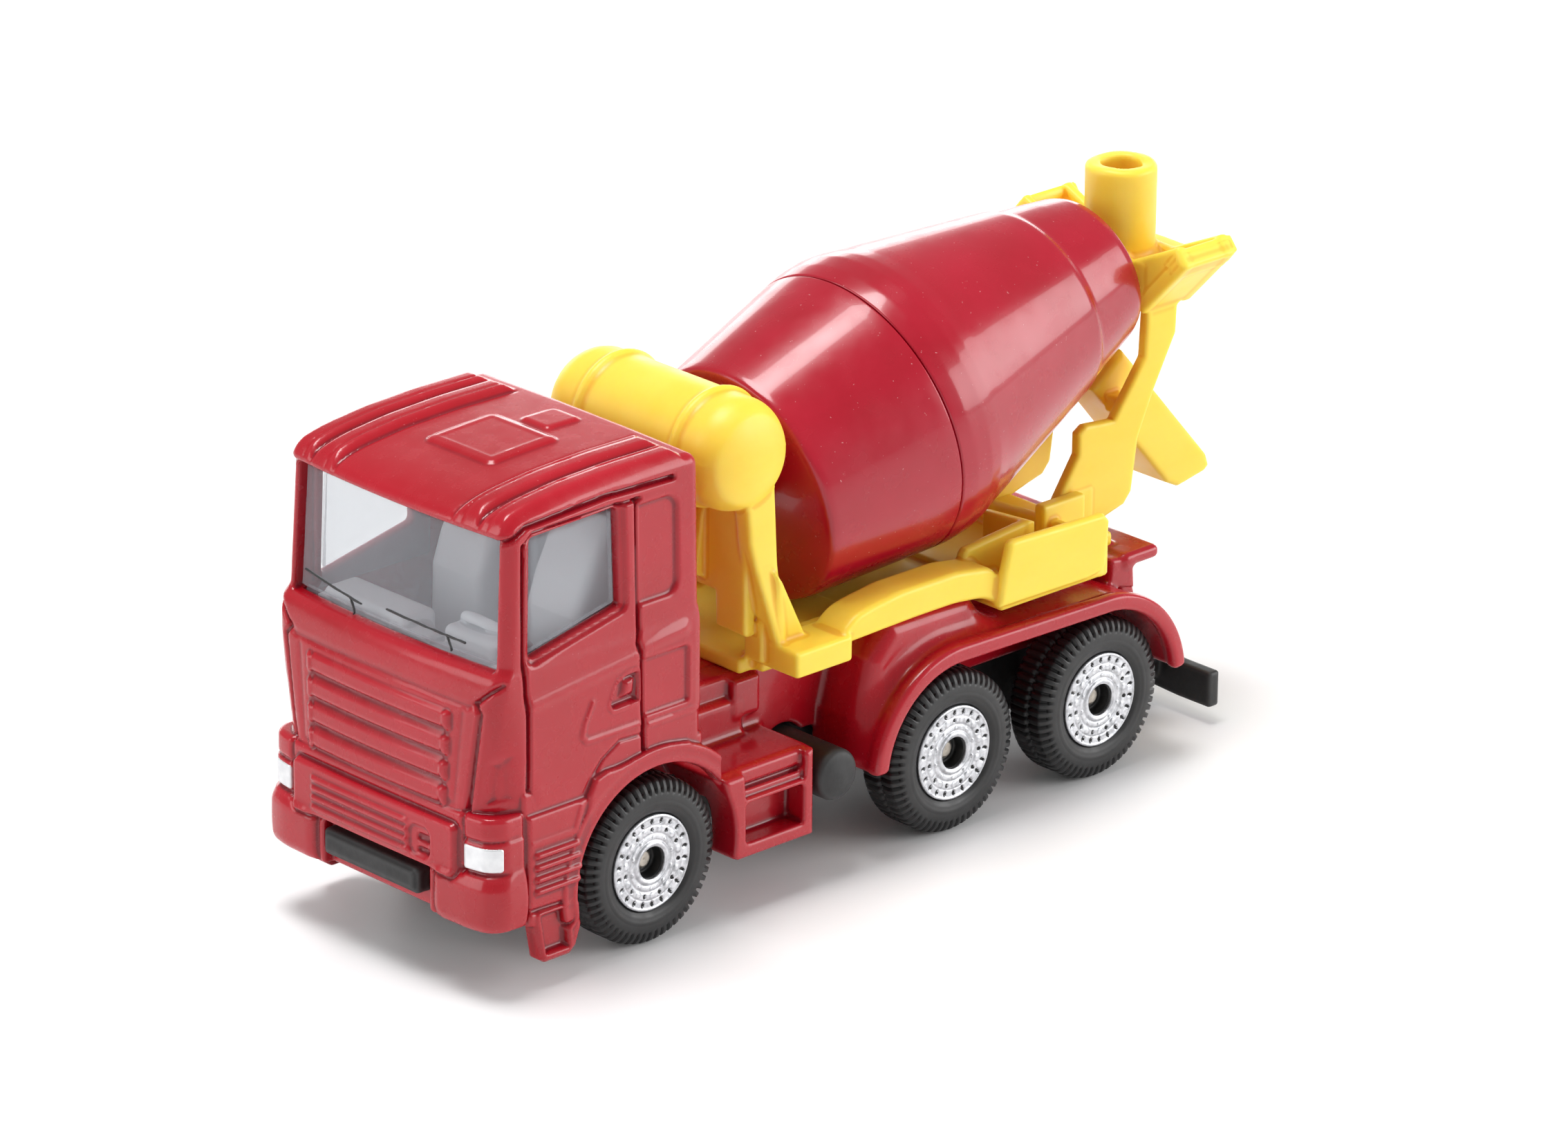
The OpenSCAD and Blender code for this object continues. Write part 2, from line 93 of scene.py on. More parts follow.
def block(x, y, z, low, high, r=0.3):
    flat = rect(x, y, low[0], high[0], low[1], high[1], r)
    return cross(flat, slab(z, low[2], high[2]), r)


def segment(u, v, a, b):
    """Distance to a straight line from a to b."""
    ex, ey = b[0] - a[0], b[1] - a[1]
    t = np.clip(((u - a[0]) * ex + (v - a[1]) * ey) / (ex * ex + ey * ey + 1e-9), 0, 1)
    return hypot(u - a[0] - t * ex, v - a[1] - t * ey)


def path(u, v, points):
    """Distance to a bent line through the points."""
    d = segment(u, v, points[0], points[1])
    for a, b in zip(points[1:], points[2:]):
        d = np.minimum(d, segment(u, v, a, b))
    return d


def polygon(u, v, points):
    """Signed distance to a closed outline."""
    d = np.full(np.broadcast(u, v).shape, 1e9, np.float32)
    inside = np.zeros(d.shape, bool)
    for a, b in zip(points, points[1:] + points[:1]):
        d = np.minimum(d, segment(u, v, a, b))
        if a[1] != b[1]:
            crosses = (v < a[1]) != (v < b[1])
            inside ^= crosses & (u < a[0] + (v - a[1]) * (b[0] - a[0]) / (b[1] - a[1]))
    return np.where(inside, -d, d)


def prism(flat, w, w0, w1, r=0.3):
    """A flat outline given depth from w0 to w1, with its edges rounded."""
    return cross(flat, slab(w, w0, w1), r)


class Curve:
    """A bent line y(x) through the points, softened by a blur in mm."""

    def __init__(self, points, blur=0.3):
        xs, ys = zip(*points)
        self.low, self.step = xs[0] - 3, 0.05
        grid = np.arange(self.low, xs[-1] + 3, self.step)
        fine = np.interp(grid, xs, ys)
        reach = int(3 * blur / self.step) + 1
        kernel = np.exp(-0.5 * (np.arange(-reach, reach + 1) * self.step / blur) ** 2)
        padded = np.pad(fine, reach, mode="edge")
        self.table = np.convolve(padded, kernel / kernel.sum(), mode="valid").astype(np.float32)

    def __call__(self, x):
        t = np.clip((x - self.low) / self.step, 0, len(self.table) - 2)
        i = t.astype(np.int32)
        return self.table[i] + (t - i) * (self.table[i + 1] - self.table[i])


class Relief:
    """A height map over two axes in mm, drawn with flat outlines and read back anywhere."""

    def __init__(self, low, high, step=0.06):
        self.low, self.step = low, step
        us = np.arange(low[0], high[0], step, dtype=np.float32)
        vs = np.arange(low[1], high[1], step, dtype=np.float32)
        self.u, self.v = np.meshgrid(us, vs, indexing="ij")
        self.height = np.zeros_like(self.u)

    def area(self, flat, height, soft=0.3):
        """Raises (or sinks) what lies inside an outline; its walls are soft mm wide."""
        t = np.clip(0.5 - flat / soft, 0, 1)
        self.height += height * t * t * (3 - 2 * t)

    def line(self, distance, height, width=0.35, soft=0.25):
        self.area(distance - width / 2, height, soft)

    def __call__(self, u, v):
        nu, nv = self.height.shape
        a = np.clip((u - self.low[0]) / self.step, 0, nu - 1.001)
        b = np.clip((v - self.low[1]) / self.step, 0, nv - 1.001)
        i, j = a.astype(np.int32), b.astype(np.int32)
        a, b = a - i, b - j
        h = self.height
        return ((h[i, j] * (1 - a) + h[i + 1, j] * a) * (1 - b)
                + (h[i, j + 1] * (1 - a) + h[i + 1, j + 1] * a) * b)


# ---------------------------------------------------------------- meshing

def new_mesh(name, points, faces, sides, bend=None):
    """Makes an object from points in mm and faces of a constant number of sides."""
    mesh = bpy.data.meshes.new(name)
    mesh.vertices.add(len(points))
    mesh.vertices.foreach_set("co", (points * MM).astype(np.float32).ravel())
    mesh.loops.add(faces.size)
    mesh.loops.foreach_set("vertex_index", faces.astype(np.int32).ravel())
    mesh.polygons.add(len(faces))
    mesh.polygons.foreach_set("loop_start", np.arange(0, faces.size, sides, dtype=np.int32))
    mesh.polygons.foreach_set("use_smooth", np.ones(len(faces), bool))
    if bend is not None:
        mesh.attributes.new("bend", "FLOAT", "POINT").data.foreach_set("value", bend.astype(np.float32))
    mesh.update(calc_edges=True)
    mesh.validate()
    piece = bpy.data.objects.new(name, mesh)
    bpy.context.scene.collection.objects.link(piece)
    return piece


def sample_field(shape, low, size, cell):
    """Values of shape on a grid of 8-point blocks, exact only in blocks near its surface."""
    n = 8
    blocks = np.ceil(np.asarray(size) / (cell * n)).astype(int)
    low = np.asarray(low, np.float32)
    where = np.stack(np.meshgrid(*[np.arange(b) for b in blocks], indexing="ij"), -1).reshape(-1, 3)
    centre = (low + (where * n + (n - 1) / 2) * cell).astype(np.float32)
    rough = shape(centre[:, 0], centre[:, 1], centre[:, 2])
    field = np.repeat(np.where(rough < 0, -1, 1).astype(np.float32), n ** 3)
    field = field.reshape(-1, n, n, n)
    near = np.flatnonzero(np.abs(rough) < n * cell * 1.1 + 0.3)
    local = (np.stack(np.meshgrid(*[np.arange(n)] * 3, indexing="ij"), 0) * cell).astype(np.float32)
    for part in np.array_split(near, max(1, len(near) // 300)):
        origin = (low + where[part] * n * cell).astype(np.float32)
        x, y, z = (origin[:, a, None, None, None] + local[a][None] for a in range(3))
        field[part] = shape(x, y, z)
    field = field.reshape(*blocks, n, n, n).transpose(0, 3, 1, 4, 2, 5)
    return np.ascontiguousarray(field).reshape(blocks * n)


CORNERS = [(i, j, k) for i in (0, 1) for j in (0, 1) for k in (0, 1)]


def net_points(field, cells):
    """One point for each cell: the mean of where the zero level crosses its edges."""
    total = np.zeros((len(cells), 3), np.float32)
    weight = np.zeros((len(cells), 1), np.float32)
    for a in CORNERS:
        for axis in range(3):
            if a[axis]:
                continue
            b = tuple(c + (axis == n) for n, c in enumerate(a))
            va = field[tuple((cells + a).T)]
            vb = field[tuple((cells + b).T)]
            hit = (va < 0) != (vb < 0)
            t = np.where(hit, va / np.where(hit, va - vb, 1), 0)
            point = np.tile(np.array(a, np.float32), (len(cells), 1))
            point[:, axis] += t
            total += point * hit[:, None]
            weight += hit[:, None]
    return cells + total / weight


def surface_net(field):
    """Vertices (in cells) and quads of the zero level."""
    inside = field < 0
    shape = np.array(field.shape) - 1
    count = np.zeros(shape, np.uint8)
    for i, j, k in CORNERS:
        count += inside[i:i + shape[0], j:j + shape[1], k:k + shape[2]]
    cells = np.stack(np.nonzero((count > 0) & (count < 8)), 1)
    index = np.full(shape, -1, np.int32)
    index[tuple(cells.T)] = np.arange(len(cells))
    quads = []
    for axis in range(3):
        u, v = (axis + 1) % 3, (axis + 2) % 3
        a, b = np.take(inside, range(shape[axis]), axis), np.take(inside, range(1, shape[axis] + 1), axis)
        for order, found in ((1, a & ~b), (-1, ~a & b)):
            edge = np.stack(np.nonzero(found), 1)
            edge = edge[(edge[:, u] > 0) & (edge[:, v] > 0)
                        & (edge[:, u] < shape[u]) & (edge[:, v] < shape[v])]
            ring = []
            for du, dv in ((-1, -1), (0, -1), (0, 0), (-1, 0)):
                c = edge.copy()
                c[:, u] += du
                c[:, v] += dv
                ring.append(index[tuple(c.T)])
            quads.append(np.stack(ring, 1)[:, ::order])
    return net_points(field, cells), np.concatenate(quads)


def sculpt(name, shape, low, high, cell, bend_reach=0.3):
    """Meshes shape(x, y, z) in mm. The float attribute "bend" is > 0 in creases, < 0 on edges."""
    low = np.asarray(low, np.float32) - 3.3 * cell
    size = np.asarray(high, np.float32) + 3.3 * cell - low
    points, quads = surface_net(sample_field(shape, low, size, cell))
    points = (low + points * cell).astype(np.float32)

    def read(offset):
        moved = points + np.asarray(offset, np.float32)
        return np.concatenate([shape(*part.T) for part in np.array_split(moved, 40)])

    for _ in range(2):
        e = 0.3 * cell
        d = read((0, 0, 0))
        slope = np.stack([read(e * axis) - read(-e * axis) for axis in np.eye(3)], 1) / (2 * e)
        move = slope * (d / np.maximum((slope ** 2).sum(1), 0.2))[:, None]
        points -= np.clip(move, -0.4 * cell, 0.4 * cell)
    around = sum(read(s * bend_reach * axis) for axis in np.eye(3) for s in (1, -1))
    bend = -(around - 6 * read((0, 0, 0))) / bend_reach ** 2
    return new_mesh(name, points, quads, 4, bend)


def lathe(profile, turns):
    """Turns a closed (along, radius) profile in mm about +Z; points on the axis are kept apart."""
    angle = np.arange(turns) * 2 * math.pi / turns
    along, radius = np.array(profile, float).T
    radius = np.maximum(radius, 1e-3)
    points = np.stack([radius[None] * np.cos(angle)[:, None], radius[None] * np.sin(angle)[:, None],
                       np.tile(along, (turns, 1))], -1).reshape(-1, 3)
    n = len(profile)
    i, j = np.meshgrid(np.arange(turns), np.arange(n), indexing="ij")
    i2, j2 = (i + 1) % turns, (j + 1) % n
    quads = np.stack([i * n + j, i2 * n + j, i2 * n + j2, i * n + j2], -1).reshape(-1, 4)
    return points, quads


def split(a, b, n):
    """Cuts the line from a to b into n parts and leaves out its end."""
    return [(a[0] + (b[0] - a[0]) * k / n, a[1] + (b[1] - a[1]) * k / n) for k in range(n)]


def soften(outline, r=0.25, steps=4):
    """Rounds every corner of a closed outline to about r, or less where its sides are short."""
    out = []
    n = len(outline)
    for k in range(n):
        p = Vector(outline[k])
        a, b = Vector(outline[k - 1]) - p, Vector(outline[(k + 1) % n]) - p
        reach = min(r, 0.45 * a.length, 0.45 * b.length)
        start, end = p + a.normalized() * reach, p + b.normalized() * reach
        for s in range(steps + 1):
            t = s / steps
            out.append(tuple(start * (1 - t) ** 2 + p * 2 * t * (1 - t) + end * t * t))
    return out


# ---------------------------------------------------------------- materials

class Nodes:
    """A node-based material, built socket by socket."""

    def __init__(self, name, **values):
        self.material = bpy.data.materials.new(name)
        self.material.use_nodes = True
        self.tree = self.material.node_tree
        self.shader = self.tree.nodes["Principled BSDF"]
        for key, value in values.items():
            self.shader.inputs[key.replace("_", " ")].default_value = value
        self.place = self.new("ShaderNodeTexCoord").outputs["Object"]

    def new(self, kind, **settings):
        node = self.tree.nodes.new(kind)
        for key, value in settings.items():
            setattr(node, key, value)
        return node

    def link(self, output, socket):
        self.tree.links.new(output, socket)

    def noise(self, size, detail=2, rough=0.5, stretch=None):
        """Noise whose features are about size mm across."""
        node = self.new("ShaderNodeTexNoise")
        node.inputs["Scale"].default_value = 1 / (size * MM)
        node.inputs["Detail"].default_value = detail
        node.inputs["Roughness"].default_value = rough
        place = self.place
        if stretch:
            mapping = self.new("ShaderNodeMapping")
            mapping.inputs["Scale"].default_value = stretch
            self.link(place, mapping.inputs["Vector"])
            place = mapping.outputs["Vector"]
        self.link(place, node.inputs["Vector"])
        return node.outputs["Fac"]

    def attribute(self, name):
        return self.new("ShaderNodeAttribute", attribute_name=name).outputs["Fac"]

    def ramp(self, value, low, high, out_low=0, out_high=1):
        node = self.new("ShaderNodeMapRange")
        ends = {"From Min": low, "From Max": high, "To Min": out_low, "To Max": out_high}
        for key, number in ends.items():
            node.inputs[key].default_value = number
        self.link(value, node.inputs["Value"])
        return node.outputs["Result"]

    def math(self, operation, a, b):
        node = self.new("ShaderNodeMath", operation=operation)
        for socket, value in zip(node.inputs, (a, b)):
            if isinstance(value, (int, float)):
                socket.default_value = value
            else:
                self.link(value, socket)
        return node.outputs[0]

    def mix(self, factor, a, b):
        """Mixes two colours; either may be a socket."""
        node = self.new("ShaderNodeMix", data_type="RGBA")
        self.link(factor, node.inputs["Factor"])
        for socket, value in ((node.inputs[6], a), (node.inputs[7], b)):
            if isinstance(value, tuple):
                socket.default_value = (*value, 1)
            else:
                self.link(value, socket)
        return node.outputs[2]

    def tint(self, value, share, colour, other):
        """Mixes in the other colour where value is high, by at most this share."""
        return self.mix(self.math("MULTIPLY", value, share), colour, other)

    def set(self, key, output):
        self.link(output, self.shader.inputs[key])

    def colour(self, output):
        self.set("Base Color", output)

    def rough(self, size, low, high):
        """Roughness that wanders from low to high over about size mm."""
        self.set("Roughness", self.ramp(self.noise(size, 3), 0.3, 0.7, low, high))

    def bump(self, *layers):
        """Layers of (height output, depth in mm)."""
        total = None
        for output, depth in layers:
            part = self.math("MULTIPLY", output, depth * MM)
            total = part if total is None else self.math("ADD", total, part)
        node = self.new("ShaderNodeBump")
        node.inputs["Distance"].default_value = 1.0
        node.inputs["Strength"].default_value = 1.0
        self.link(total, node.inputs["Height"])
        self.set("Normal", node.outputs["Normal"])


def red_enamel():
    """Thick glossy enamel over a zinc casting: darker in creases, partly pooled enamel and partly painted
    shade, with fine dust specks.
    """
    m = Nodes("red_enamel", Roughness=0.3, Coat_Weight=0.25, Coat_Roughness=0.06, IOR=1.42)
    bend = m.attribute("bend")
    crease = m.ramp(bend, 0.5, 2.6)
    edge = m.ramp(bend, -0.4, -2)
    body = m.mix(m.ramp(m.noise(9, 3), 0.3, 0.7), (0.37, 0.003, 0.01), (0.43, 0.004, 0.015))
    # painted shade, partly pooled enamel: creases mixed towards a dark red
    shade = m.tint(crease, 0.6, body, (0.1, 0.003, 0.01))
    thin = m.tint(edge, 0.12, shade, (0.6, 0.05, 0.07))
    specks = m.ramp(m.noise(0.16, 1), 0.75, 0.78)
    m.colour(m.tint(specks, 0.35, thin, (0.7, 0.2, 0.22)))
    m.rough(1.6, 0.2, 0.32)
    m.bump((m.noise(1.8, 2), 0.008), (m.noise(0.45, 2), 0.0015))
    return m.material


def yellow_plastic():
    """Satin, slightly translucent moulded plastic with faint flow marks."""
    m = Nodes("yellow_plastic", Roughness=0.4, IOR=1.48, Subsurface_Weight=0.4, Subsurface_Scale=0.0022)
    m.shader.inputs["Subsurface Radius"].default_value = (1, 0.6, 0.12)
    flow = m.ramp(m.noise(6, 4, 0.6, (0.3, 1, 1)), 0.3, 0.7)
    body = m.mix(flow, (0.94, 0.64, 0.05), (0.96, 0.7, 0.085))
    # painted shade: creases mixed towards a deeper orange
    crease = m.ramp(m.attribute("bend"), 0.1, 1.3)
    m.colour(m.tint(crease, 0.6, body, (0.78, 0.4, 0.01)))
    m.rough(2.5, 0.34, 0.5)
    m.bump((m.noise(0.5, 3), 0.006), (m.noise(3.5, 2), 0.02))
    return m.material


def drum_plastic():
    """Glossy dark red plastic with turning streaks and a few dust specks."""
    m = Nodes("drum_plastic", Roughness=0.25, IOR=1.45, Coat_Weight=0.3, Coat_Roughness=0.05)
    streak = m.ramp(m.noise(5, 4, 0.55), 0.3, 0.7)
    body = m.mix(streak, (0.36, 0.003, 0.015), (0.41, 0.005, 0.022))
    specks = m.ramp(m.noise(0.22, 1), 0.775, 0.79)
    m.colour(m.tint(specks, 0.5, body, (0.8, 0.45, 0.45)))
    m.rough(2.2, 0.2, 0.3)
    m.bump((m.noise(3.2, 2), 0.01))
    return m.material


def black_plastic(name, grey, rough, grain):
    """Matte black moulding: fine grain, dusty scuffs on edges."""
    m = Nodes(name, IOR=1.47)
    dust = m.ramp(m.noise(3, 4, 0.6), 0.35, 0.75)
    body = m.mix(dust, (grey * 0.75,) * 3, (grey * 1.25, grey * 1.25, grey * 1.3))
    edge = m.ramp(m.attribute("bend"), -0.3, -2.2)
    m.colour(m.tint(edge, 0.5, body, (grey * 3,) * 3))
    m.rough(0.9, rough - 0.06, rough + 0.08)
    m.bump((m.noise(0.28, 3), grain), (m.noise(2.2, 2), 0.012))
    return m.material


def silver_foil():
    """Hot-stamped foil: bright, uneven, thinned to grey in spots."""
    m = Nodes("silver_foil", Metallic=0.75, IOR=1.5)
    worn = m.ramp(m.noise(0.5, 4, 0.6), 0.42, 0.7)
    m.colour(m.mix(worn, (0.66, 0.67, 0.7), (0.4, 0.41, 0.43)))
    m.rough(0.9, 0.3, 0.48)
    m.bump((m.noise(0.3, 3), 0.03), (m.noise(0.8, 2), 0.04))
    return m.material


def silver_paint():
    """Sprayed silver headlight paint, slightly lumpy."""
    m = Nodes("silver_paint", Metallic=0.35, IOR=1.5)
    m.colour(m.mix(m.ramp(m.noise(0.8, 3), 0.3, 0.7), (0.86, 0.87, 0.88), (0.72, 0.73, 0.75)))
    m.rough(0.6, 0.3, 0.42)
    m.bump((m.noise(0.5, 3), 0.02), (m.noise(1.4, 1), 0.03))
    return m.material


def axle_steel():
    """Cut end of drawn wire: brushed round the axis, dulled by handling."""
    m = Nodes("axle_steel", Metallic=0.85)
    m.colour(m.mix(m.ramp(m.noise(0.4, 3), 0.35, 0.7), (0.62, 0.57, 0.5), (0.42, 0.38, 0.33)))
    m.rough(0.25, 0.35, 0.55)
    m.bump((m.noise(0.12, 3, 0.6, (1, 8, 1)), 0.01))
    return m.material


def grey_plastic():
    """Light grey interior moulding."""
    m = Nodes("interior_plastic", IOR=1.46)
    body = m.mix(m.ramp(m.noise(4, 3), 0.3, 0.7), (0.86, 0.88, 0.9), (0.9, 0.92, 0.94))
    # painted shade: creases mixed towards a darker grey
    m.colour(m.mix(m.ramp(m.attribute("bend"), 0.1, 1.2), body, (0.7, 0.71, 0.73)))
    m.rough(1.2, 0.45, 0.6)
    m.bump((m.noise(0.5, 3), 0.01))
    return m.material


def clear_plastic():
    """Clear moulded glazing with a faint grey body and dust on it."""
    m = Nodes("clear_plastic", IOR=1.45)
    m.shader.inputs["Base Color"].default_value = (0.6, 0.64, 0.69, 1)
    m.rough(2.5, 0.03, 0.07)
    m.bump((m.noise(6, 1), 0.012))
    clear = m.new("ShaderNodeBsdfTransparent")
    clear.inputs["Color"].default_value = (0.96, 0.965, 0.97, 1)
    rim = m.new("ShaderNodeLayerWeight")
    rim.inputs["Blend"].default_value = 0.25
    blend = m.new("ShaderNodeMixShader")
    dust = m.ramp(m.noise(0.7, 4, 0.65), 0.6, 0.8, 0, 0.02)
    m.link(m.math("ADD", m.ramp(rim.outputs["Facing"], 0, 1, 0.09, 0.5), dust), blend.inputs[0])
    m.link(clear.outputs[0], blend.inputs[1])
    m.link(m.shader.outputs[0], blend.inputs[2])
    m.link(blend.outputs[0], m.tree.nodes["Material Output"].inputs["Surface"])
    return m.material


ENAMEL = red_enamel()
YELLOW = yellow_plastic()
DRUM_RED = drum_plastic()
BASE_BLACK = black_plastic("base_black", 0.016, 0.5, 0.012)
WHEEL_BLACK = black_plastic("wheel_black", 0.017, 0.4, 0.004)
PRINT_BLACK = black_plastic("print_black", 0.02, 0.4, 0.004)
FOIL = silver_foil()
SILVER = silver_paint()
STEEL = axle_steel()
GREY = grey_plastic()
CLEAR = clear_plastic()


def place(piece, body, material, *nodes):
    """Gives a finished piece its material and body, and hides the CAD nodes it stands for."""
    piece.data.materials.append(material)
    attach(piece, body)
    if nodes:
        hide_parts(*nodes)


# ---------------------------------------------------------------- places from the frame

def middle(node):
    low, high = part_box(node)
    return (low + high) / 2 / MM


AXLES = {p: middle(p + "_wheel_left").x for p in ("front", "middle", "rear")}
AXLE_Z = middle("front_wheel_left").z
WHEEL_IN, WHEEL_OUT = (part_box("front_wheel_left")[k].y / MM for k in (0, 1))
ARCH_X = AXLES["front"]
CAB_REAR = 20.9
CAB_HALF = 12.2
WALL = 1.2
ARCH_R = 7.75
DECK = 16.0
RIVETS_X = (12.8, -12.75)
AIR_TANK_X, AIR_TANK_Z = 7.45, 8.25


# ---------------------------------------------------------------- cab

FRONT_LINE = Curve([(0, 41.9), (14.4, 41.8), (22, 41.6), (23.6, 41.4), (24.5, 41.15), (25.1, 40.55),
                    (34.6, 40), (35, 40.2), (38, 39.9)], 0.22)
SIDE_LINE = Curve([(0, CAB_HALF), (24.5, CAB_HALF), (25.1, 12.02), (35.3, 11.85), (38, 11.7)], 0.25)
ROOF_LINE = Curve([(19, 37), (22, 37.15), (28, 37.2), (33, 37), (37, 36.55), (39, 36.1), (40.5, 35.2),
                   (42, 34)], 0.7)
WINDSHIELD = [(-10.75, 25.2), (10.75, 25.2), (10.55, 34.5), (-10.55, 34.5)]
SIDE_WINDOW = [(36.8, 34.2), (29.1, 34.45), (28.95, 27.5), (37.05, 25.8)]
HANDLE = [(29.9, 20.1), (29.35, 21.4), (28.5, 21.9), (27.45, 21.95), (27.45, 19.85), (29.7, 19.75)]


def front_relief():
    m = Relief((-14, 4), (14, 37))
    y, z = m.u, m.v
    s = np.abs(y)
    m.area(35.0 - z, 0.15, 0.6)
    # grille panel: a sunk joint all round, louvres between ribs, small end blocks
    m.line(path(s, z, [(9.4, 14.2), (10.6, 21.9), (10.1, 22.6), (11.9, 24.2)]), -0.4, 0.32, 0.3)
    m.line(path(s, z, [(0, 22.4), (9.4, 22.25), (10.1, 22.6)]), -0.14, 0.5, 0.6)
    for k in range(4):
        top = 21.5 - 1.93 * k
        half = 7.35 - 0.1 * k
        m.area(rect(y, z, -half, half, top - 1.35, top - 0.1, 0.5), 0.26, 0.55)
        m.area(rect(y, z, -half, half, top - 1.75, top - 1.4, 0.15), -0.1, 0.3)
        m.area(rect(s, z, half - 0.1, half + 0.45, top - 1.5, top - 0.1, 0.25), 0.3, 0.35)
    m.line(path(s, z, [(7, 14.5), (8.2, 14.6), (8.9, 21.6)]), -0.1, 0.4, 0.5)
    # dent in the corner piece
    m.area(polygon(s, z, [(10.7, 15), (11.7, 15.2), (11.9, 18.6), (11.2, 18.1)]), -0.3, 0.6)
    return m


def low_relief():
    """Front face below the grille: raised panel, fine ribs, step recess, bumper."""
    m = Relief((-14, 4), (14, 15))
    y, z = m.u, m.v
    s = np.abs(y)
    panel = rect(y, z, -8.95, 8.95, 9, 13.2, 0.6)
    m.area(panel, 0.45, 0.5)
    m.line(np.abs(panel), -0.35, 0.3, 0.3)
    for k in range(4):
        m.area(rect(y, z, -6.6, 4, 9.7 + 0.74 * k, 10.05 + 0.74 * k, 0.17), 0.2, 0.34)
    recess = rect(y, z, 4, 6.5, 9.55, 12.2, 0.85)
    m.area(recess, -0.16, 0.35)
    m.line(np.abs(recess), 0.1, 0.25, 0.3)
    for low, high in ((10.85, 11.45), (9.95, 10.4)):
        m.area(rect(y, z, 4.95, 6.2, low, high, 0.25), -0.3, 0.3)
    m.line(path(s, z, [(9.3, 9.85), (13.6, 9.9)]), -0.35, 0.3, 0.35)
    m.line(path(s, z, [(9.4, 12.3), (13.6, 12.35)]), -0.22, 0.3, 0.35)
    m.line(path(s, z, [(9.35, 9.6), (9.35, 14.2)]), -0.3, 0.3, 0.3)
    m.area(rect(s, z, 6.6, 16, 5.5, 9.3, 1.1), 0.5, 1.5)
    m.line(path(s, z, [(6.45, 5), (6.45, 8.8)]), -0.4, 0.2, 0.4)
    return m


def side_relief():
    m = Relief((19, 1), (43.5, 38))
    x, z = m.u, m.v
    # door: shut lines, window rim, belt, swage, handle
    for depth, width, soft, points in (
            (0.5, 0.3, 0.26, [(27.2, 35), (27.15, 25), (27.35, 24.2), (26.95, 22.6), (26.75, 13.6)]),
            (0.5, 0.3, 0.26, [(38, 34.2), (38.15, 25), (38.05, 23), (37.8, 21.4), (37.75, 13.7)]),
            (0.4, 0.26, 0.26, [(26.9, 35), (37, 34.95), (37.9, 34.2)]),
            (0.2, 0.2, 0.3, [(37.8, 13.9), (32.6, 13.95), (31.7, 15.1), (30.8, 16.1), (29.1, 17.1),
                             (27.1, 17)]),
            (0.55, 0.36, 0.3, [(23.6, 35.75), (30, 35.95), (37.6, 35.55), (39.4, 34.7)])):
        m.line(path(x, z, points), -depth, width, soft)
    window = polygon(x, z, SIDE_WINDOW)
    m.area(window - 0.75, -0.3, 0.5)
    m.line(path(x, z, [(22.8, 24.05), (26.5, 23.6), (27.3, 23.2), (37.4, 22.1)]), 0.22, 0.7, 1.1)
    belt = [(31.7, 20.8), (32.5, 19.3), (32.7, 18.4), (32.3, 17.95), (27.2, 17.95)]
    m.line(path(x, z, belt), 0.18, 0.25, 0.45)
    handle = polygon(x, z, HANDLE)
    m.area(handle, -0.42, 0.35)
    m.area(polygon(x, z, [(28.75, 20.35), (28.5, 21.45), (27.6, 21.5), (27.75, 20.45)]), 0.34, 0.4)
    m.line(np.abs(handle - 0.2), 0.12, 0.2, 0.25)
    # rear quarter: upper and lower pressed panels
    upper = rect(x, z, 23.2, 28.5, 26.9, 34.5, 1.1)
    m.area(np.maximum(upper, x - 27), -0.3, 0.45)
    lower = rect(x, z, 22.3, 28.5, 18.25, 22.8, 0.4)
    m.area(np.maximum(lower, x - 26.9), -0.2, 0.35)
    m.line(np.maximum(np.abs(lower), x - 26.9), 0.1, 0.3, 0.3)
    m.line(path(x, z, [(21.2, 25.2), (21.1, 17.6), (26.4, 17.6)]), 0.15, 0.3, 0.4)
    return m


def roof_relief():
    m = Relief((18, -13.5), (43, 13.5))
    x, y = m.u, m.v
    s = np.abs(y)
    along = np.maximum(22.8 - x, (x - 39.6) * 0.4)
    for middle_s, half in ((7.75, 1), (10.3, 0.95)):
        m.area(np.maximum(np.abs(s - middle_s) - half, along), 0.5, 1)
        m.line(path(x, s, [(23, middle_s - 0.4), (40.5, middle_s - 0.4)]), -0.14, 0.1, 0.4)
    for at in (6.4, 9.05):
        m.line(path(x, s, [(22.6, at), (40.8, at)]), -0.12, 0.2, 0.5)
    hatch = rect(x, y, 27.2, 33.7, -3.55, 3.55, 0.6)
    m.area(hatch, 0.24, 0.55)
    m.line(np.abs(hatch + 0.6), 0.05, 0.25, 0.3)
    m.area(rect(x, y, 23.2, 26.4, -1.45, 1.45, 0.4), 0.22, 0.5)
    m.line(path(x, s, [(40.75, 0), (40.75, 6.2)]), -0.14, 0.2, 0.4)
    return m


FRONT, LOW, SIDE, ROOF = front_relief(), low_relief(), side_relief(), roof_relief()


def cab_block(x, y, z, inset=0, detail=True):
    """The cab above the bumper as a solid, with its pressed detail or plain and inset."""
    s = np.abs(y)
    front = x - FRONT_LINE(z) + 0.0045 * s * s + inset
    side = s - SIDE_LINE(z) + 0.012 * np.maximum(27 - x, 0) + inset
    roof = z - ROOF_LINE(x) + 0.0012 * s * s + inset
    rear = CAB_REAR - x + inset
    # slanted face that narrows upwards between the grille and the side
    corner = 0.595 * (x - 41.3) + 0.785 * (s - 12.1) - 0.164 * (z - 23.7) + inset
    corner = corner - 2 * np.maximum(z - 24, 0)
    if detail:
        front = front - FRONT(y, z)
        corner = corner - 0.7 * FRONT(y, z)
        side = side - SIDE(x, z)
        roof = roof - ROOF(x, y)
    r = max(0.3, 1.5 - inset)
    d = cross(front, side, 1.1 if detail else r)
    d = cross(d, corner, 1.3 if detail else 0.5)
    d = cross(d, roof, 0.8 if detail else r)
    return cross(d, rear, max(0.3, 0.9 - inset))


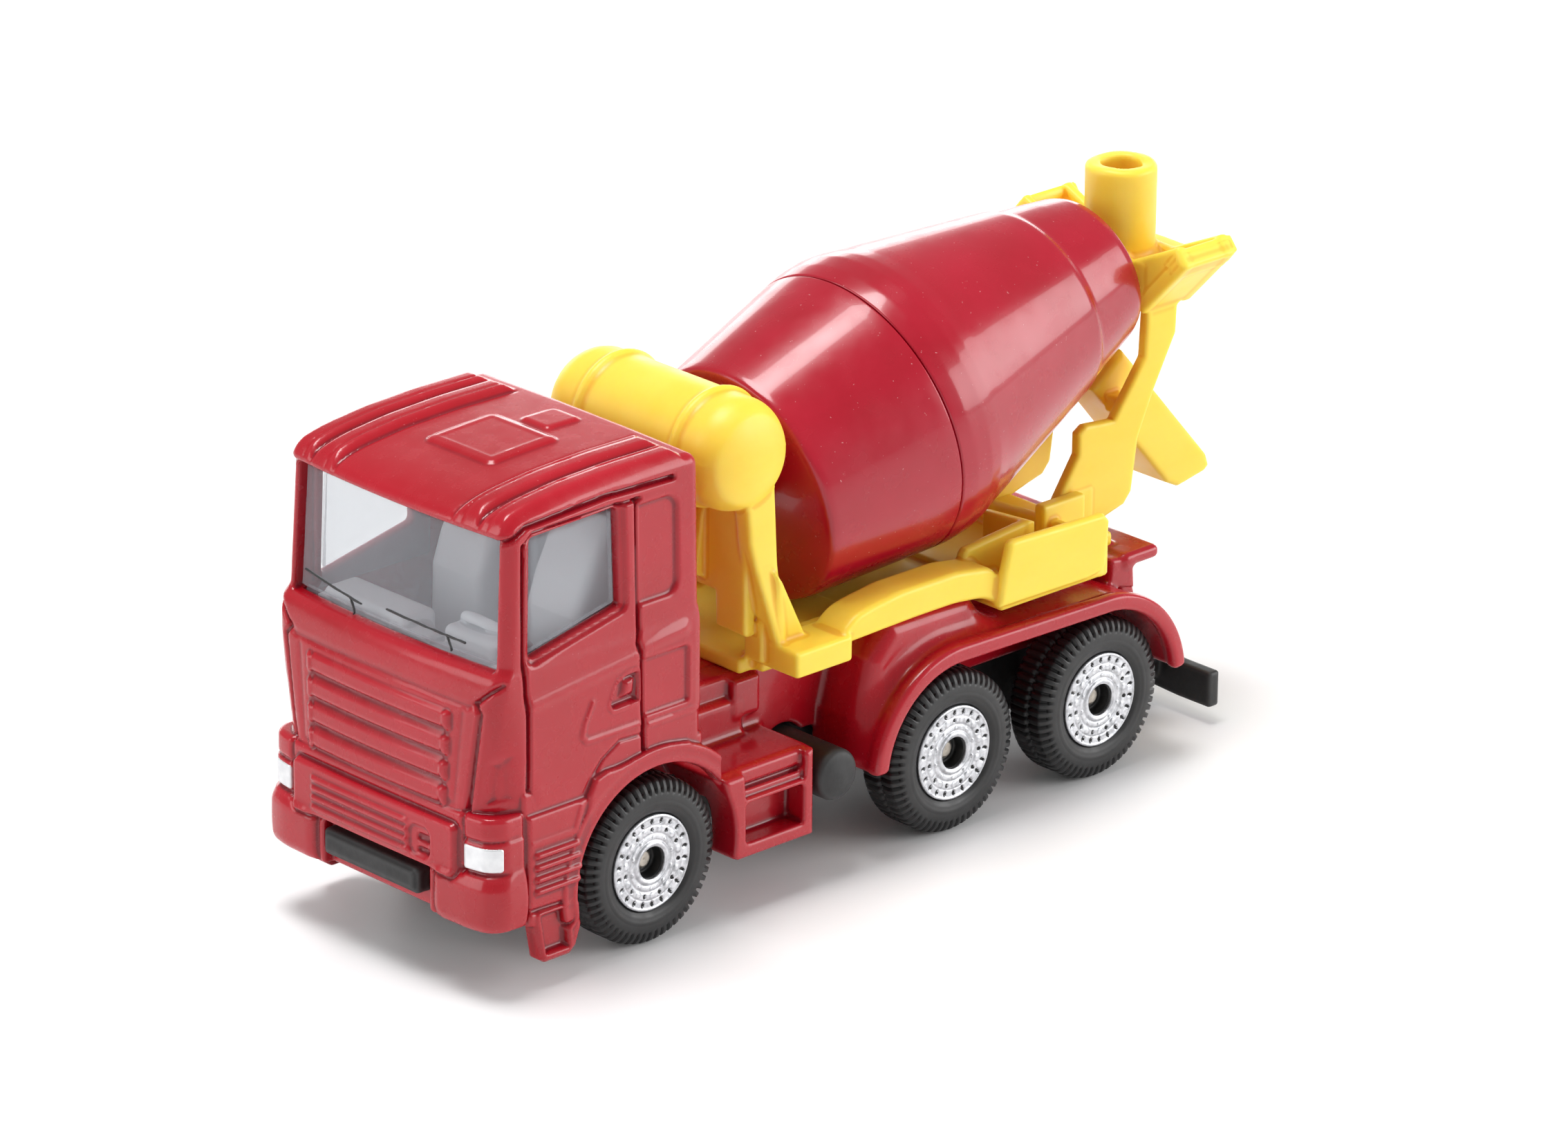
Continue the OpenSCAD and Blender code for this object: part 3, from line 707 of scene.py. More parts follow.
def low_block(x, y, z):
    """Bumper, headlight zone and lower panel as one solid."""
    s = np.abs(y)
    swell = LOW(y, z)
    front = x - 41.85 + 0.0018 * s * s + 0.07 * np.maximum(s - 9.4, 0) ** 2 - swell
    side = s - 12.5 - np.clip(0.35 - 0.35 * ((z - 7.6) / 2.2) ** 2, -0.1, 0.35) + 0.14 * (z > 12.3)
    d = cross(front, side, 1.3)
    d = cross(d, slab(z, 5.35, 14.15), 0.45)
    d = cross(d, 38.35 - x, 0.3)
    notch = rect(s, z, -1, 5.8, 0, 8.95, 0.3)
    return cut(d, cross(notch, 40.9 - x, 0.1), 0.2)


STEP_PANEL = [(38.1, 13.7), (38.1, 5.2), (37.5, 5), (37, 2.3), (36.5, 1.95), (34.1, 1.95),
              (33.5, 2.5), (33, 3.9), (32.1, 4.2), (32.1, 13.7)]


def step_relief():
    m = Relief((30, 1), (39, 15))
    x, z = m.u, m.v
    for k in range(4):
        m.area(rect(x, z, 33.3 - 0.1 * k, 37.5, 10.35 - 0.93 * k, 10.75 - 0.93 * k, 0.2), 0.3, 0.34)
    m.line(path(x, z, [(37.7, 11.5), (33.6, 11.5), (33, 13.2)]), 0.1, 0.35, 0.4)
    outline = [(36.9, 5.7), (33.7, 5.7), (33.9, 4.6), (34.5, 4.1), (34.4, 2.75), (36.4, 2.75)]
    pocket = polygon(x, z, outline)
    m.area(pocket, -0.5, 0.4)
    m.line(np.abs(pocket - 0.3), 0.14, 0.3, 0.3)
    m.line(path(x, z, [(38.2, 6.35), (33, 6.15)]), -0.3, 0.35, 0.35)
    return m


STEPS = step_relief()


def arch_lip(x, s, z):
    """Raised band round the front wheel arch, wider towards the door."""
    ring = disc(x, z, ARCH_X, AXLE_Z, 9.3)
    door = [(22.6, 15.15), (29.1, 15.25), (30.7, 15.25), (31.8, 14.9), (32.4, 13.8), (32.9, 4.1),
            (28, 4.1)]
    band = join(ring, polygon(x, z, door), 0.4)
    band = cut(band, disc(x, z, ARCH_X, AXLE_Z, ARCH_R + 0.05))
    band = cross(band, 4.45 - z, 0.4)
    hollow = np.abs(disc(x, z, ARCH_X, AXLE_Z, 8.55)) - 0.2
    return prism(band, s, 11, 12.62 - 0.1 * np.clip(1 - hollow / 0.4, 0, 1), 0.35)


def cab_shell(x, y, z):
    s = np.abs(y)
    upper = cross(cab_block(x, y, z), 13.85 - z, 0.3)
    under = cross(rect(x, z, CAB_REAR, 38.4, 9, 15.5), s - CAB_HALF + 0.05, 0.4)
    upper = np.minimum(upper, under)
    step = prism(polygon(x, z, STEP_PANEL), s, 10.9, 12.45, 0.35) - STEPS(x, z) * (s > 11.5)
    d = join(upper, low_block(x, y, z), 0.1)
    d = join(d, cross(step, s - 12.9, 0.1), 0.1)
    d = cut(d, cross(disc(x, z, ARCH_X, AXLE_Z, ARCH_R), 6.9 - s, 0.4), 0.3)
    d = join(d, arch_lip(x, s, z), 0.12)
    # hollow from below: behind the bumper, over the base plate and inside the cab
    hollow = cross(rect(x, z, 33.2, 40.6, -5, 13.4, 0.5), s - 11.1, 0.5)
    channel = cross(rect(x, z, 10, 40, -5, 14.2, 0.5), s - 5.6, 0.4)
    cavity = cross(cab_block(x, y, z, WALL, False), 15.3 - z, 0.4)
    d = cut(d, np.minimum(np.minimum(hollow, channel), cavity), 0.25)
    d = cut(d, cross(polygon(y, z, WINDSHIELD) - 0.3, 38.0 - x), 0.28)
    return cut(d, cross(polygon(x, z, SIDE_WINDOW) - 0.3, 10.0 - s), 0.28)


def glazing(x, y, z):
    """Clear box behind the windows with panes that fill them to just under the surface."""
    s = np.abs(y)
    box = cab_block(x, y, z, WALL + 0.1, False)
    box = cross(cut(box, cab_block(x, y, z, WALL + 0.7, False)), np.maximum(24.6 - z, 27.5 - x), 0.2)
    panes = np.minimum(cross(polygon(y, z, WINDSHIELD), 37.0 - x),
                       cross(polygon(x, z, SIDE_WINDOW), 10.0 - s))
    panes = cross(panes, cab_block(x, y, z, 0.62, False), 0.15)
    return join(box, cut(panes, cab_block(x, y, z, WALL + 0.4, False)), 0.2)


def headlight(x, y, z):
    """Coat of silver paint over the headlight area."""
    s = np.abs(y)
    lamp = rect(s, z, 9.5, 13.3, 10.05, 11.95, 0.25)
    skin = low_block(x, y, z)
    return cross(cross(skin - 0.07, -0.2 - skin), cross(lamp, 40.3 - x, 0.2), 0.1)


def wiper(x, y, z):
    """Two thin printed wipers on the windshield, each a blade and an arm."""
    strokes = (((-10.3, 26.5), (-3.6, 25.85)), ((-4.9, 26), (-4.2, 25)),
               ((-0.8, 26.3), (7.5, 26.1)), ((5.6, 26.2), (6.2, 25.2)))
    marks = np.minimum.reduce([segment(y, z, a, b) for a, b in strokes]) - 0.07
    glass = cab_block(x, y, z, 0.62, False)
    return cross(marks, np.abs(glass) - 0.09)


def interior(x, y, z):
    s = np.abs(y)
    floor = block(x, y, z, (22.6, -10, 14.6), (38.6, 10, 15.7), 0.3)
    outline = [(34.2, 15.5), (34.6, 21.4), (35.4, 23.6), (37, 24.6), (38.6, 24.5), (39, 15.5)]
    dash = prism(polygon(x, z, outline), s, -5, 10.2, 0.5)
    dash = cut(dash, rect(s, z, 2, 8.8, 24, 27, 0.4), 0.3)
    seat_side = s - 5.2
    cushion = block(x, seat_side, z, (25.6, -3, 15.2), (31.8, 3, 19.3), 0.9)
    outline = [(23, 17), (29.8, 18), (29.6, 25.2), (28.8, 27.5), (27.2, 30.6), (26.2, 32.2), (23, 32.4)]
    back = prism(polygon(x, z, outline), seat_side, -2.9, 2.9, 0.9)
    head = block(x, seat_side, z, (23.2, -1.7, 28), (24.9, 1.7, 31), 0.7)
    seat = join(join(cushion, back, 0.8), head, 0.4)
    tunnel = block(x, y, z, (25, -1.7, 15), (34.5, 1.7, 18.6), 0.6)
    lining = block(x, s, z, (22.7, -1, 15), (23.6, 10.3, 34.4), 0.3)
    d = join(join(join(join(floor, dash, 0.5), seat, 0.3), tunnel, 0.5), lining, 0.4)
    binnacle = block(x, y, z, (34.6, 2.6, 23.5), (37.6, 8.2, 25.6), 0.6)
    shelf = block(x, y, z, (35.2, -9.6, 23.5), (38.4, -0.6, 25.2), 0.5)
    d = join(join(d, binnacle, 0.4), shelf, 0.4)
    # steering wheel on its column, left side
    dx, dy, dz = x - 34.2, y - 4.9, z - 24.6
    along = -0.62 * dx + 0.785 * dz
    across = hypot(0.785 * dx + 0.62 * dz, dy)
    rim = hypot(across - 2.6, along) - 0.42
    hub = cross(across - 0.9, np.abs(along + 0.2) - 0.3, 0.2)
    spoke = cross(np.abs(dy) - 0.35, cross(across - 2.6, np.abs(along) - 0.22), 0.1)
    column = cross(across - 0.55, slab(along, -4.5, 0), 0.1)
    return np.minimum(d, np.minimum(join(rim, spoke, 0.2), join(hub, column, 0.2)))


# ---------------------------------------------------------------- chassis casting

def mudguard_profile(x, z, inset):
    """Side outline of the double mudguard: two arcs with a straight run between them."""
    first = disc(x, z, AXLES["middle"], AXLE_Z, 8.9 - inset)
    second = disc(x, z, AXLES["rear"], AXLE_Z, 8.45 - 0.75 * inset)
    run = polygon(x, z, [(AXLES["rear"], AXLE_Z), (AXLES["rear"], AXLE_Z + 8.45 - 0.75 * inset),
                         (AXLES["middle"], AXLE_Z + 8.9 - inset), (AXLES["middle"], AXLE_Z)])
    return np.minimum(np.minimum(first, second), run)


def rivets(x, y, r):
    """Discs on the two rivet posts that hold the base plate."""
    mid, reach = sum(RIVETS_X) / 2, (RIVETS_X[0] - RIVETS_X[1]) / 2
    return disc(np.abs(x - mid) - reach, y, 0, 0, r)


def step_unit(x, s, z):
    """Steps behind the cab: a ledge over an open pocket."""
    unit = polygon(x, z, [(10, 4.35), (17.5, 4.35), (18.9, 5), (18.9, 11), (10, 11.2)])
    unit = prism(unit, s, 6.3, 12.45, 0.45)
    ledge = cross(rect(x, z, 10.9, 16.9, 9.55, 12.5, 0.5), 11.35 - s, 0.3)
    slope = cross(rect(x, z, 10.9, 16.9, 9, 10.6, 0.3), 12.0 - s, 0.2)
    pocket = cross(rect(x, z, 11.05, 16.8, 5.5, 8.65, 0.35), 10.5 - s, 0.3)
    unit = cut(cut(cut(unit, ledge, 0.25), slope, 0.15), pocket, 0.25)
    return cut(unit, block(x, s, z, (11, 4, 2), (18, 9.6, 9.2), 0.3), 0.2)


def mudguards(x, s, z):
    """Double mudguard, rolled over at its outer edge, with the raised seat for the frame."""
    skin = mudguard_profile(x, z, 0)
    skin = skin + 0.035 * np.maximum(11.8 - s, 0)
    guard = prism(skin, s, 5.8, 12.5, 0.75)
    seat = polygon(x, z, [(-11, 14), (-8, 18), (0.4, 18), (2.6, 15.5), (3.8, 11), (3.9, 8), (-8, 8)])
    seat = cross(seat, s - 10.6, 1.5)
    seat = cross(seat, 5.9 - s)
    guard = join(guard, seat, 1.4)
    guard = cut(guard, cross(mudguard_profile(x, z, 1.35), s - 30), 0.35)
    guard = cross(guard, 7.15 - z, 0.4)
    bead = prism(np.abs(mudguard_profile(x, z, 0.7)) - 0.62, s, 11.7, 12.65, 0.35)
    return join(guard, cross(bead, 7.15 - z, 0.4), 0.35)


def chassis(x, y, z):
    s = np.abs(y)
    spine = block(x, s, z, (-27.5, -1, 9.5), (22.3, 6.3, DECK), 0.5)
    spine = cut(spine, block(x, s, z, (-26, -2, 0), (30, 5.05, 14.7), 0.4), 0.3)
    hump = block(x, s, z, (-3, 2.4, 15.6), (20.6, 4, 16), 0.3)
    cross_bar = block(x, s, z, (10.4, -1, 12.6), (13.1, 7, 15.6), 0.3)
    cross_bar = join(cross_bar, block(x, s, z, (12, 5, 9.9), (20.9, 6.9, 14.2), 0.5), 0.3)
    d = join(join(spine, hump, 0.3), cross_bar, 0.4)
    shelf = block(x, s, z, (9.9, 5.6, 9.9), (21.6, 11.8, 11.2), 0.45)
    d = join(d, shelf, 0.7)
    d = join(d, step_unit(x, s, z), 0.3)
    d = join(d, mudguards(x, s, z), 0.6)
    # tail: plate with a raised rim, and the sloping wall down to the mudguards
    tail = block(x, s, z, (-30, -1, 14.6), (-26.2, 8.6, 15.7), 0.5)
    wall = polygon(x, z, [(-29.3, 9.4), (-27.9, 9.2), (-26.4, 15), (-28, 15.2)])
    wall = prism(wall, s, -6.5, 7.2, 0.35)
    gusset = polygon(x, z, [(-27.6, 12.6), (-24.6, 13.4), (-25, 15.6), (-27.4, 15.4)])
    gusset = prism(gusset, s, 6, 8.4, 0.4)
    d = join(join(join(d, tail, 0.4), wall, 0.4), gusset, 0.4)
    # clearances: front wheels, air tank, base plate
    d = cut(d, cross(disc(x, z, ARCH_X, AXLE_Z, ARCH_R), 5.9 - s, 0.3), 0.3)
    d = cut(d, disc(x, z, AIR_TANK_X, AIR_TANK_Z, 2.3), 0.3)
    posts, heads = rivets(x, y, 1.5), rivets(x, y, 2.1)
    posts = np.minimum(cross(posts, slab(z, 4.4, 15)), cross(heads, slab(z, 4.25, 4.75), 0.2))
    return np.minimum(d, posts)


# ---------------------------------------------------------------- black base

def base(x, y, z):
    s = np.abs(y)
    plate = block(x, s, z, (-27, -1, 4.2), (38.2, 4.9, 5.4), 0.3)
    rails = block(x, s, z, (-26, 3.8, 4.2), (20, 4.9, 10.2), 0.3)
    rails = np.minimum(rails, block(x, s, z, (22.4, 3.8, 4.2), (37, 4.9, 14.2), 0.3))
    ribs = [block(x, s, z, (cx - 2.2, -1, 4.2), (cx + 2.2, 4.9, 8.9), 0.3) for cx in AXLES.values()]
    d = join(np.minimum(plate, rails), np.minimum.reduce(ribs), 0.2)
    sunk = block(x, s, z, (-24, -1, 3), (36, 3.9, 4.5), 0.3)
    for cx in (*AXLES.values(), *RIVETS_X):
        sunk = cut(sunk, cross(np.abs(x - cx) - 2.6, s - 10), 0.2)
    d = cut(d, sunk, 0.2)
    front = block(x, s, z, (35.5, -1, 4.2), (38.3, 4.6, 7), 0.3)
    front = join(front, block(x, s, z, (37.5, -1, 6.6), (41.3, 5, 8.2), 0.3), 0.3)
    carrier = block(x, y + 0.3, z, (40.6, -5.2, 6.45), (42.1, 5.2, 8.5), 0.35)
    face = block(x, y + 0.3, z, (41.8, -4.9, 6.8), (42.28, 4.9, 8.2), 0.2)
    d = join(join(join(d, front, 0.2), carrier, 0.2), face, 0.1)
    tank = hypot(x - AIR_TANK_X, z - AIR_TANK_Z)
    domed = hypot(tank, s - 7.2) - 5.4
    tank = cross(tank - 2, domed, 0.35)
    d = join(d, cross(tank, 3.0 - s), 0.4)
    arm = polygon(x, z, [(-26, 4.2), (-26, 6.8), (-28, 6.6), (-34.4, 4.2), (-34.4, 2.4), (-30, 3.8)])
    web = polygon(x, z, [(-27, 4.3), (-27, 5.9), (-34.4, 4), (-34.4, 3.2)])
    arm = join(prism(arm, s, 3.2, 5, 0.3), prism(web, s, -1, 5, 0.2), 0.3)
    sag = 0.05 * np.maximum(7 - s, 0)
    bar = block(x, s, z - sag, (-35.1, -1, 1.5), (-34, 10.4, 4.4), 0.22)
    d = join(join(d, arm, 0.3), bar, 0.3)
    for cx in AXLES.values():
        d = cut(d, disc(x, z, cx, AXLE_Z, 0.81))
    return cut(d, rivets(x, y, 1.6))


# ---------------------------------------------------------------- yellow mixer frame

TANK_X, TANK_Z, TANK_R = 13.4, 33.7, 4.3


def water_tank(x, s, z):
    across = hypot(x - TANK_X, z - TANK_Z)
    band = 0.34 * np.exp(-((s - 5.2) / 0.42) ** 2) + 0.1 * np.exp(-((s - 9) / 0.25) ** 2)
    split = 0.05 * np.exp(-((z - TANK_Z - 0.3) / 0.1) ** 2)
    dome = hypot(across, s - 1.2) - 8.55
    return cross(across - TANK_R - band - split, dome, 1.3)


def mixer_frame(x, y, z):
    s = np.abs(y)
    tray = block(x, s, z, (-26.4, -1, 16.05), (12.6, 7, 17.2), 0.3)
    tray = cut(tray, block(x, s, z, (-12, -2, 16.8), (-1, 3.4, 19), 0.4), 0.3)
    rim = block(x, s, z, (-9, 6.2, 16.3), (6, 7, 18.2), 0.25)
    d = join(tray, rim, 0.3)
    # bulkhead standing on two tabs, with the bearing for the drum's spigot
    wall = [(-1, 22.3), (4.7, 22.2), (4.8, 19.5), (8, 19.4), (8, 26), (7.6, 31.5), (-1, 31.5)]
    wall = prism(polygon(s, z, wall), x, 11.9, 13, 0.3)
    tab = block(x, s, z, (10.4, 6.7, 17.2), (11.9, 8.6, 20.4), 0.25)
    wall = join(wall, tab, 0.2)
    wall = cut(wall, cross(hypot(y, z - 34.5) - 3.6, np.abs(x - 12.5) - 2), 0.2)
    rib = polygon(x, z, [(12.5, 22.7), (14, 23.4), (13.4, 28), (12.5, 30)])
    rib = prism(cross(np.abs(s - 3.4) - 0.35, rib, 0.1), s, 3, 3.8, 0.1)
    d = join(join(d, wall, 0.4), rib, 0.3)
    along, off = drum_coords(x, y, z)
    boss = cross(off - 3.4, slab(along, -19.6, -16.2), 0.3)
    d = join(d, boss, 0.4)
    # posts, gussets and foot blocks
    blade = polygon(s, z, [(7, 31), (8.7, 31), (9, 25), (9.9, 18.6), (7.9, 18.6), (7.8, 23)])
    side = polygon(x, z, [(10.6, 31), (13.5, 31), (13.3, 27), (11.45, 19), (10.5, 17)])
    blade = cross(blade, side, 0.35)
    gusset = polygon(x, z, [(11, 17.5), (11.2, 24.4), (10.6, 23.6), (8.2, 18.7), (8, 17.5)])
    gusset = prism(gusset, s, 8.5, 9.6, 0.3)
    foot = block(x, s, z, (5.8, 7.9, 16.85), (11.45, 12, 18.85), 0.3)
    post = join(join(blade, gusset, 0.3), foot, 0.35)
    d = join(d, post, 0.3)
    d = join(d, cross(rect(x, z, 4.5, 11.2, 16.1, 17.4, 0.3), slab(s, 6, 8), 0.3), 0.3)
    # side beam over the mudguard's seat
    beam = np.maximum(z - BEAM_TOP(x), BEAM_UNDER(x) - z)
    beam = cross(cross(beam, slab(s, 8.4, 11.65), 0.45), slab(x, -11.5, 6.4), 0.4)
    d = join(d, beam, 0.35)
    return join(d, join(lockers(x, s, z), water_tank(x, s, z), 0.4), 0.35)


BEAM_TOP = Curve([(-12, 18.7), (-10, 18.9), (-8.9, 20.2), (-5.2, 20.75), (0.6, 20.75), (4, 20.3),
                  (5.2, 20), (6.6, 18.9)], 0.35)
BEAM_UNDER = Curve([(-12, 16.75), (-10, 16.8), (-8.2, 17.9), (-5.2, 18.25), (-1.2, 18.25),
                    (6.5, 18.05)], 0.5)


def lockers(x, s, z):
    """Open locker on each side: floor, outer plate, inner rib, cross walls."""
    floor = block(x, s, z, (-20.6, 6.6, 16.4), (-9.8, 11.7, 17.3), 0.3)
    plate = polygon(x, z, [(-9.1, 17), (-9.4, 19.6), (-9.9, 22), (-10.3, 22.2), (-19.9, 21.85),
                           (-20.5, 21.2), (-20.4, 17.6), (-19.9, 17.1), (-18.5, 16.9)])
    plate = prism(plate, s - 0.05 * (z - 19), 11.45, 12.4, 0.42)
    inner = polygon(x, z, [(-8.2, 17), (-8.1, 20.7), (-8.5, 21.1), (-15, 21.7), (-15, 17)])
    inner = prism(inner, s, 8.45, 9.4, 0.3)
    divider = polygon(s, z, [(4.5, 16.5), (9.4, 16.5), (9.4, 21.6), (4.5, 21.2)])
    divider = prism(divider, x, -15.6, -14.7, 0.3)
    back = polygon(s, z, [(-1, 16.3), (11.6, 16.4), (11.6, 19.4), (4.6, 19.4), (-1, 19)])
    back = prism(back, x, -21.3, -20.4, 0.3)
    d = join(join(floor, plate, 0.35), inner, 0.3)
    d = join(join(d, divider, 0.3), back, 0.3)
    cheek = block(x, s, z, (-24.3, 5, 16.2), (-19.8, 6.1, 20.6), 0.25)
    return join(d, cheek, 0.3)


# ---------------------------------------------------------------- rear unit

LEG = [(-22.5, 17), (-22.5, 20), (-24.7, 23.2), (-24.7, 24.9), (-25.5, 25.4), (-28.5, 25.1),
       (-31.7, 29.4), (-31.9, 33.4), (-31.3, 34.6), (-31.3, 37), (-35.9, 37), (-35.7, 34.3),
       (-35.2, 33), (-35.1, 30.7), (-32.8, 26.5), (-31.2, 23), (-30.6, 18.8), (-29.8, 17.9),
       (-28.2, 17.5), (-26.4, 17)]
HOPPER_X, HOPPER_TOP = -33.6, 43.6


def hopper_unit(x, y, z):
    s = np.abs(y)
    leg = prism(polygon(x, z, LEG), s, 3.9, 4.9, 0.32)
    pad = block(x, s, z, (-26.2, 4.5, 17.4), (-22.9, 4.95, 20.3), 0.2)
    leg = join(leg, pad, 0.15)
    # catch pan: two shaped walls joined by sloping wings, with prongs at the tips
    wall = [(-1, 34.9), (-1, 36.9), (3.2, 36.9), (8.2, 39.2), (9.2, 37.9), (4.8, 33.2), (-1, 33.2)]
    wall = polygon(s, z, wall)
    walls = np.minimum(prism(wall, x, -32.1, -31.3, 0.28), prism(wall, x, -36.6, -35.7, 0.28))
    wing = polygon(s, z, [(4.1, 33.6), (4.8, 33.1), (9.25, 37.85), (8.6, 38.6)])
    pan = join(walls, prism(wing, x, -36.6, -31.3, 0.25), 0.35)
    tip = prism(polygon(s, z, [(7.2, 37.6), (8.3, 39.1), (9.2, 38), (8.2, 36.8)]), x, -37.2, -31.3, 0.3)
    pan = join(pan, cut(tip, block(x, s, z, (-36.4, 0, 37.9), (-32.4, 8, 45), 0.2), 0.15), 0.25)
    collar = polygon(x, s, [(-38.6, -1), (-38.4, 3.4), (-36.4, 4.6), (-31.4, 4.4), (-31.4, -1)])
    d = join(join(leg, pan, 0.35), prism(collar, z, 35.3, 36.5, 0.35), 0.4)
    # hopper tube, flared slightly and rough round its mouth
    off = hypot(x - HOPPER_X, y)
    turn = np.arctan2(y, x - HOPPER_X)
    rim = HOPPER_TOP + 0.05 * np.sin(2 * turn + 1) + 0.02 * np.sin(5 * turn)
    tube = cross(off - 2.78 + 0.02 * (HOPPER_TOP - z) * 0.3, np.maximum(z - rim, 35.2 - z), 0.45)
    d = join(d, tube, 0.7)
    bore = off - 1.35 - 0.035 * (z - 36) - 0.05 * np.sin(4 * turn + 0.5)
    d = cut(d, cross(bore, 36.8 - z, 0.3), 0.25)
    along, radial = drum_coords(x, y, z)
    return join(d, cross(radial - 1.88, slab(along, 21.9, 27.4), 0.2), 0.2)


def chute(x, y, z):
    """Inclined channel: its side plates have rounded lower ends."""
    s = np.abs(y)
    side = polygon(x, z, [(-29.1, 26.6), (-32.2, 29.15), (-41.85, 18.2), (-42.2, 17.2), (-41.7, 16.8),
                          (-38.8, 16.25), (-37.5, 16.9)])
    trough = polygon(x, z, [(-29.4, 28.1), (-32.2, 30.2), (-44, 17.2), (-41.2, 14.4)])
    d = cut(prism(side, s, -2.05, 2.05, 0.4), prism(trough, s, -1.2, 1.2, 0.2), 0.25)
    lug = block(x, s, z, (-31.8, 1.9, 24.6), (-30.3, 3.95, 26), 0.25)
    return join(d, lug, 0.25)


# ---------------------------------------------------------------- drum

SPIN = next(j for j in frame["joints"] if j["name"] == "drum_spin")
SEAM = Vector(SPIN["pos_m"]) / MM
DRUM_AXIS = Vector(SPIN["axis"]).normalized()


def drum_coords(x, y, z):
    """Place along the drum's axis from its seam, and distance from the axis."""
    dx, dz = x - SEAM.x, z - SEAM.z
    along = dx * DRUM_AXIS.x + dz * DRUM_AXIS.z
    return along, hypot(dx * DRUM_AXIS.z - dz * DRUM_AXIS.x, y)


def smooth_profile(points, step=0.72):
    """Divides the sides of an (along, radius) outline into steps, so that it shades smoothly."""
    out = []
    for a, b in zip(points, points[1:] + points[:1]):
        out += split(a, b, max(1, int(math.dist(a, b) / step)))
    return out


def turned(name, outline):
    """A lathe piece on the drum's axis."""
    points, quads = lathe(smooth_profile(soften(outline, 0.2)), 224)
    side = Vector((0, 1, 0))
    up = DRUM_AXIS.cross(side)
    axes = np.array([side, up, DRUM_AXIS])
    return new_mesh(name, points @ axes + np.array(SEAM), quads, 4, np.zeros(len(points)))


FRONT_OUTLINE = [(-11.8, 0), (-11.8, 9), (-11.74, 9.4), (-11.5, 9.64), (-11.1, 9.76),
                 (-6, 10.6), (-0.12, 11.55), (0, 11.45), (0, 10.6), (-10.8, 8.8), (-10.8, 0)]
REAR_OUTLINE = [(0.06, 11.5), (0.16, 11.6), (1.4, 11.78), (2.9, 11.8), (4, 11.62), (5.2, 11.28),
                (6.6, 10.95), (12, 9.62), (18.4, 8.03), (18.75, 7.9), (19.05, 7.64), (19.4, 7.5),
                (22.2, 6.84), (24.6, 6.2), (25.2, 5.9), (25.4, 5.45), (25.1, 5.05), (23.8, 5),
                (23.8, 1.96), (22.6, 1.96), (22.6, 5.3), (19, 6.8), (7, 9.9), (3, 10.5), (0.06, 10.5)]
SPIGOT = [(-19.2, 0), (-19.2, 1.88), (-11.5, 1.88), (-11.5, 0)]


# ---------------------------------------------------------------- wheels

LUGS = 58


def wheel(position, side):
    """Lugged tyre, smooth sidewall and hub well, turned about the axle."""
    outline = []
    inner, outer = WHEEL_IN, WHEEL_OUT
    points = [(inner + 0.4, 0.75), (inner + 0.4, 4.4), (inner, 4.9), (inner + 0.25, 5.95),
              (inner + 0.8, 6.36), (outer - 0.95, 6.38), (outer - 0.5, 6.3), (outer - 0.12, 5.75),
              (outer, 4.9), (outer - 0.1, 4.15), (outer - 0.32, 3.82), (outer - 0.45, 3.74),
              (outer - 0.42, 1.28), (outer - 0.5, 1.2), (outer - 1.4, 1.15), (outer - 1.4, 0.75)]
    rounded = soften(points, 0.3, 5)
    for a, b in zip(rounded, rounded[1:] + [points[0]]):
        outline += split(a, b, max(1, round(math.dist(a, b) / 0.12)))
    turns = LUGS * 8
    points, quads = lathe(outline, turns)
    angle = np.arctan2(points[:, 1], points[:, 0])
    radius = np.hypot(points[:, 0], points[:, 1])
    along = points[:, 2]
    # grooves between the lugs, cut over the shoulder; the tread's two rows are half a pitch apart
    row = np.where(along > (inner + outer) / 2 + 0.3, 0, math.pi)
    wave = np.cos(LUGS * angle + row)
    groove = np.clip((wave - 0.1) / 0.35, 0, 1)
    shoulder = np.clip((radius - 5.6) / 0.2, 0, 1)
    ring = np.exp(-((along - (inner + outer) / 2 - 0.3) / 0.16) ** 2) * np.clip((radius - 6) / 0.2, 0, 1)
    depth = 0.26 * groove * shoulder + 0.25 * ring
    scale = 1 - depth / np.maximum(radius, 1)
    sink = 0.22 * groove * np.clip((radius - 5.35) / 0.2, 0, 1)
    sink = sink * np.clip((along - outer + 0.9) / 0.4, 0, 1)
    bead = 0.06 * np.exp(-((radius - 4.55) / 0.09) ** 2) * (along > outer - 0.6)
    points[:, 0] *= scale
    points[:, 1] *= scale
    points[:, 2] += bead - sink
    return wheel_mesh(f"wheel_{position}_{side}", points, quads, position, side)


def wheel_mesh(name, points, quads, position, side):
    """Stands a piece turned about +Z on its axle; the right side is mirrored."""
    if side == "right":
        points = points * (1, -1, -1)
        placed = np.stack([points[:, 0] + AXLES[position], points[:, 2], AXLE_Z + points[:, 1]], 1)
    else:
        placed = np.stack([points[:, 0] + AXLES[position], points[:, 2], AXLE_Z - points[:, 1]], 1)
    return new_mesh(name, placed, quads, 4, np.zeros(len(points)))


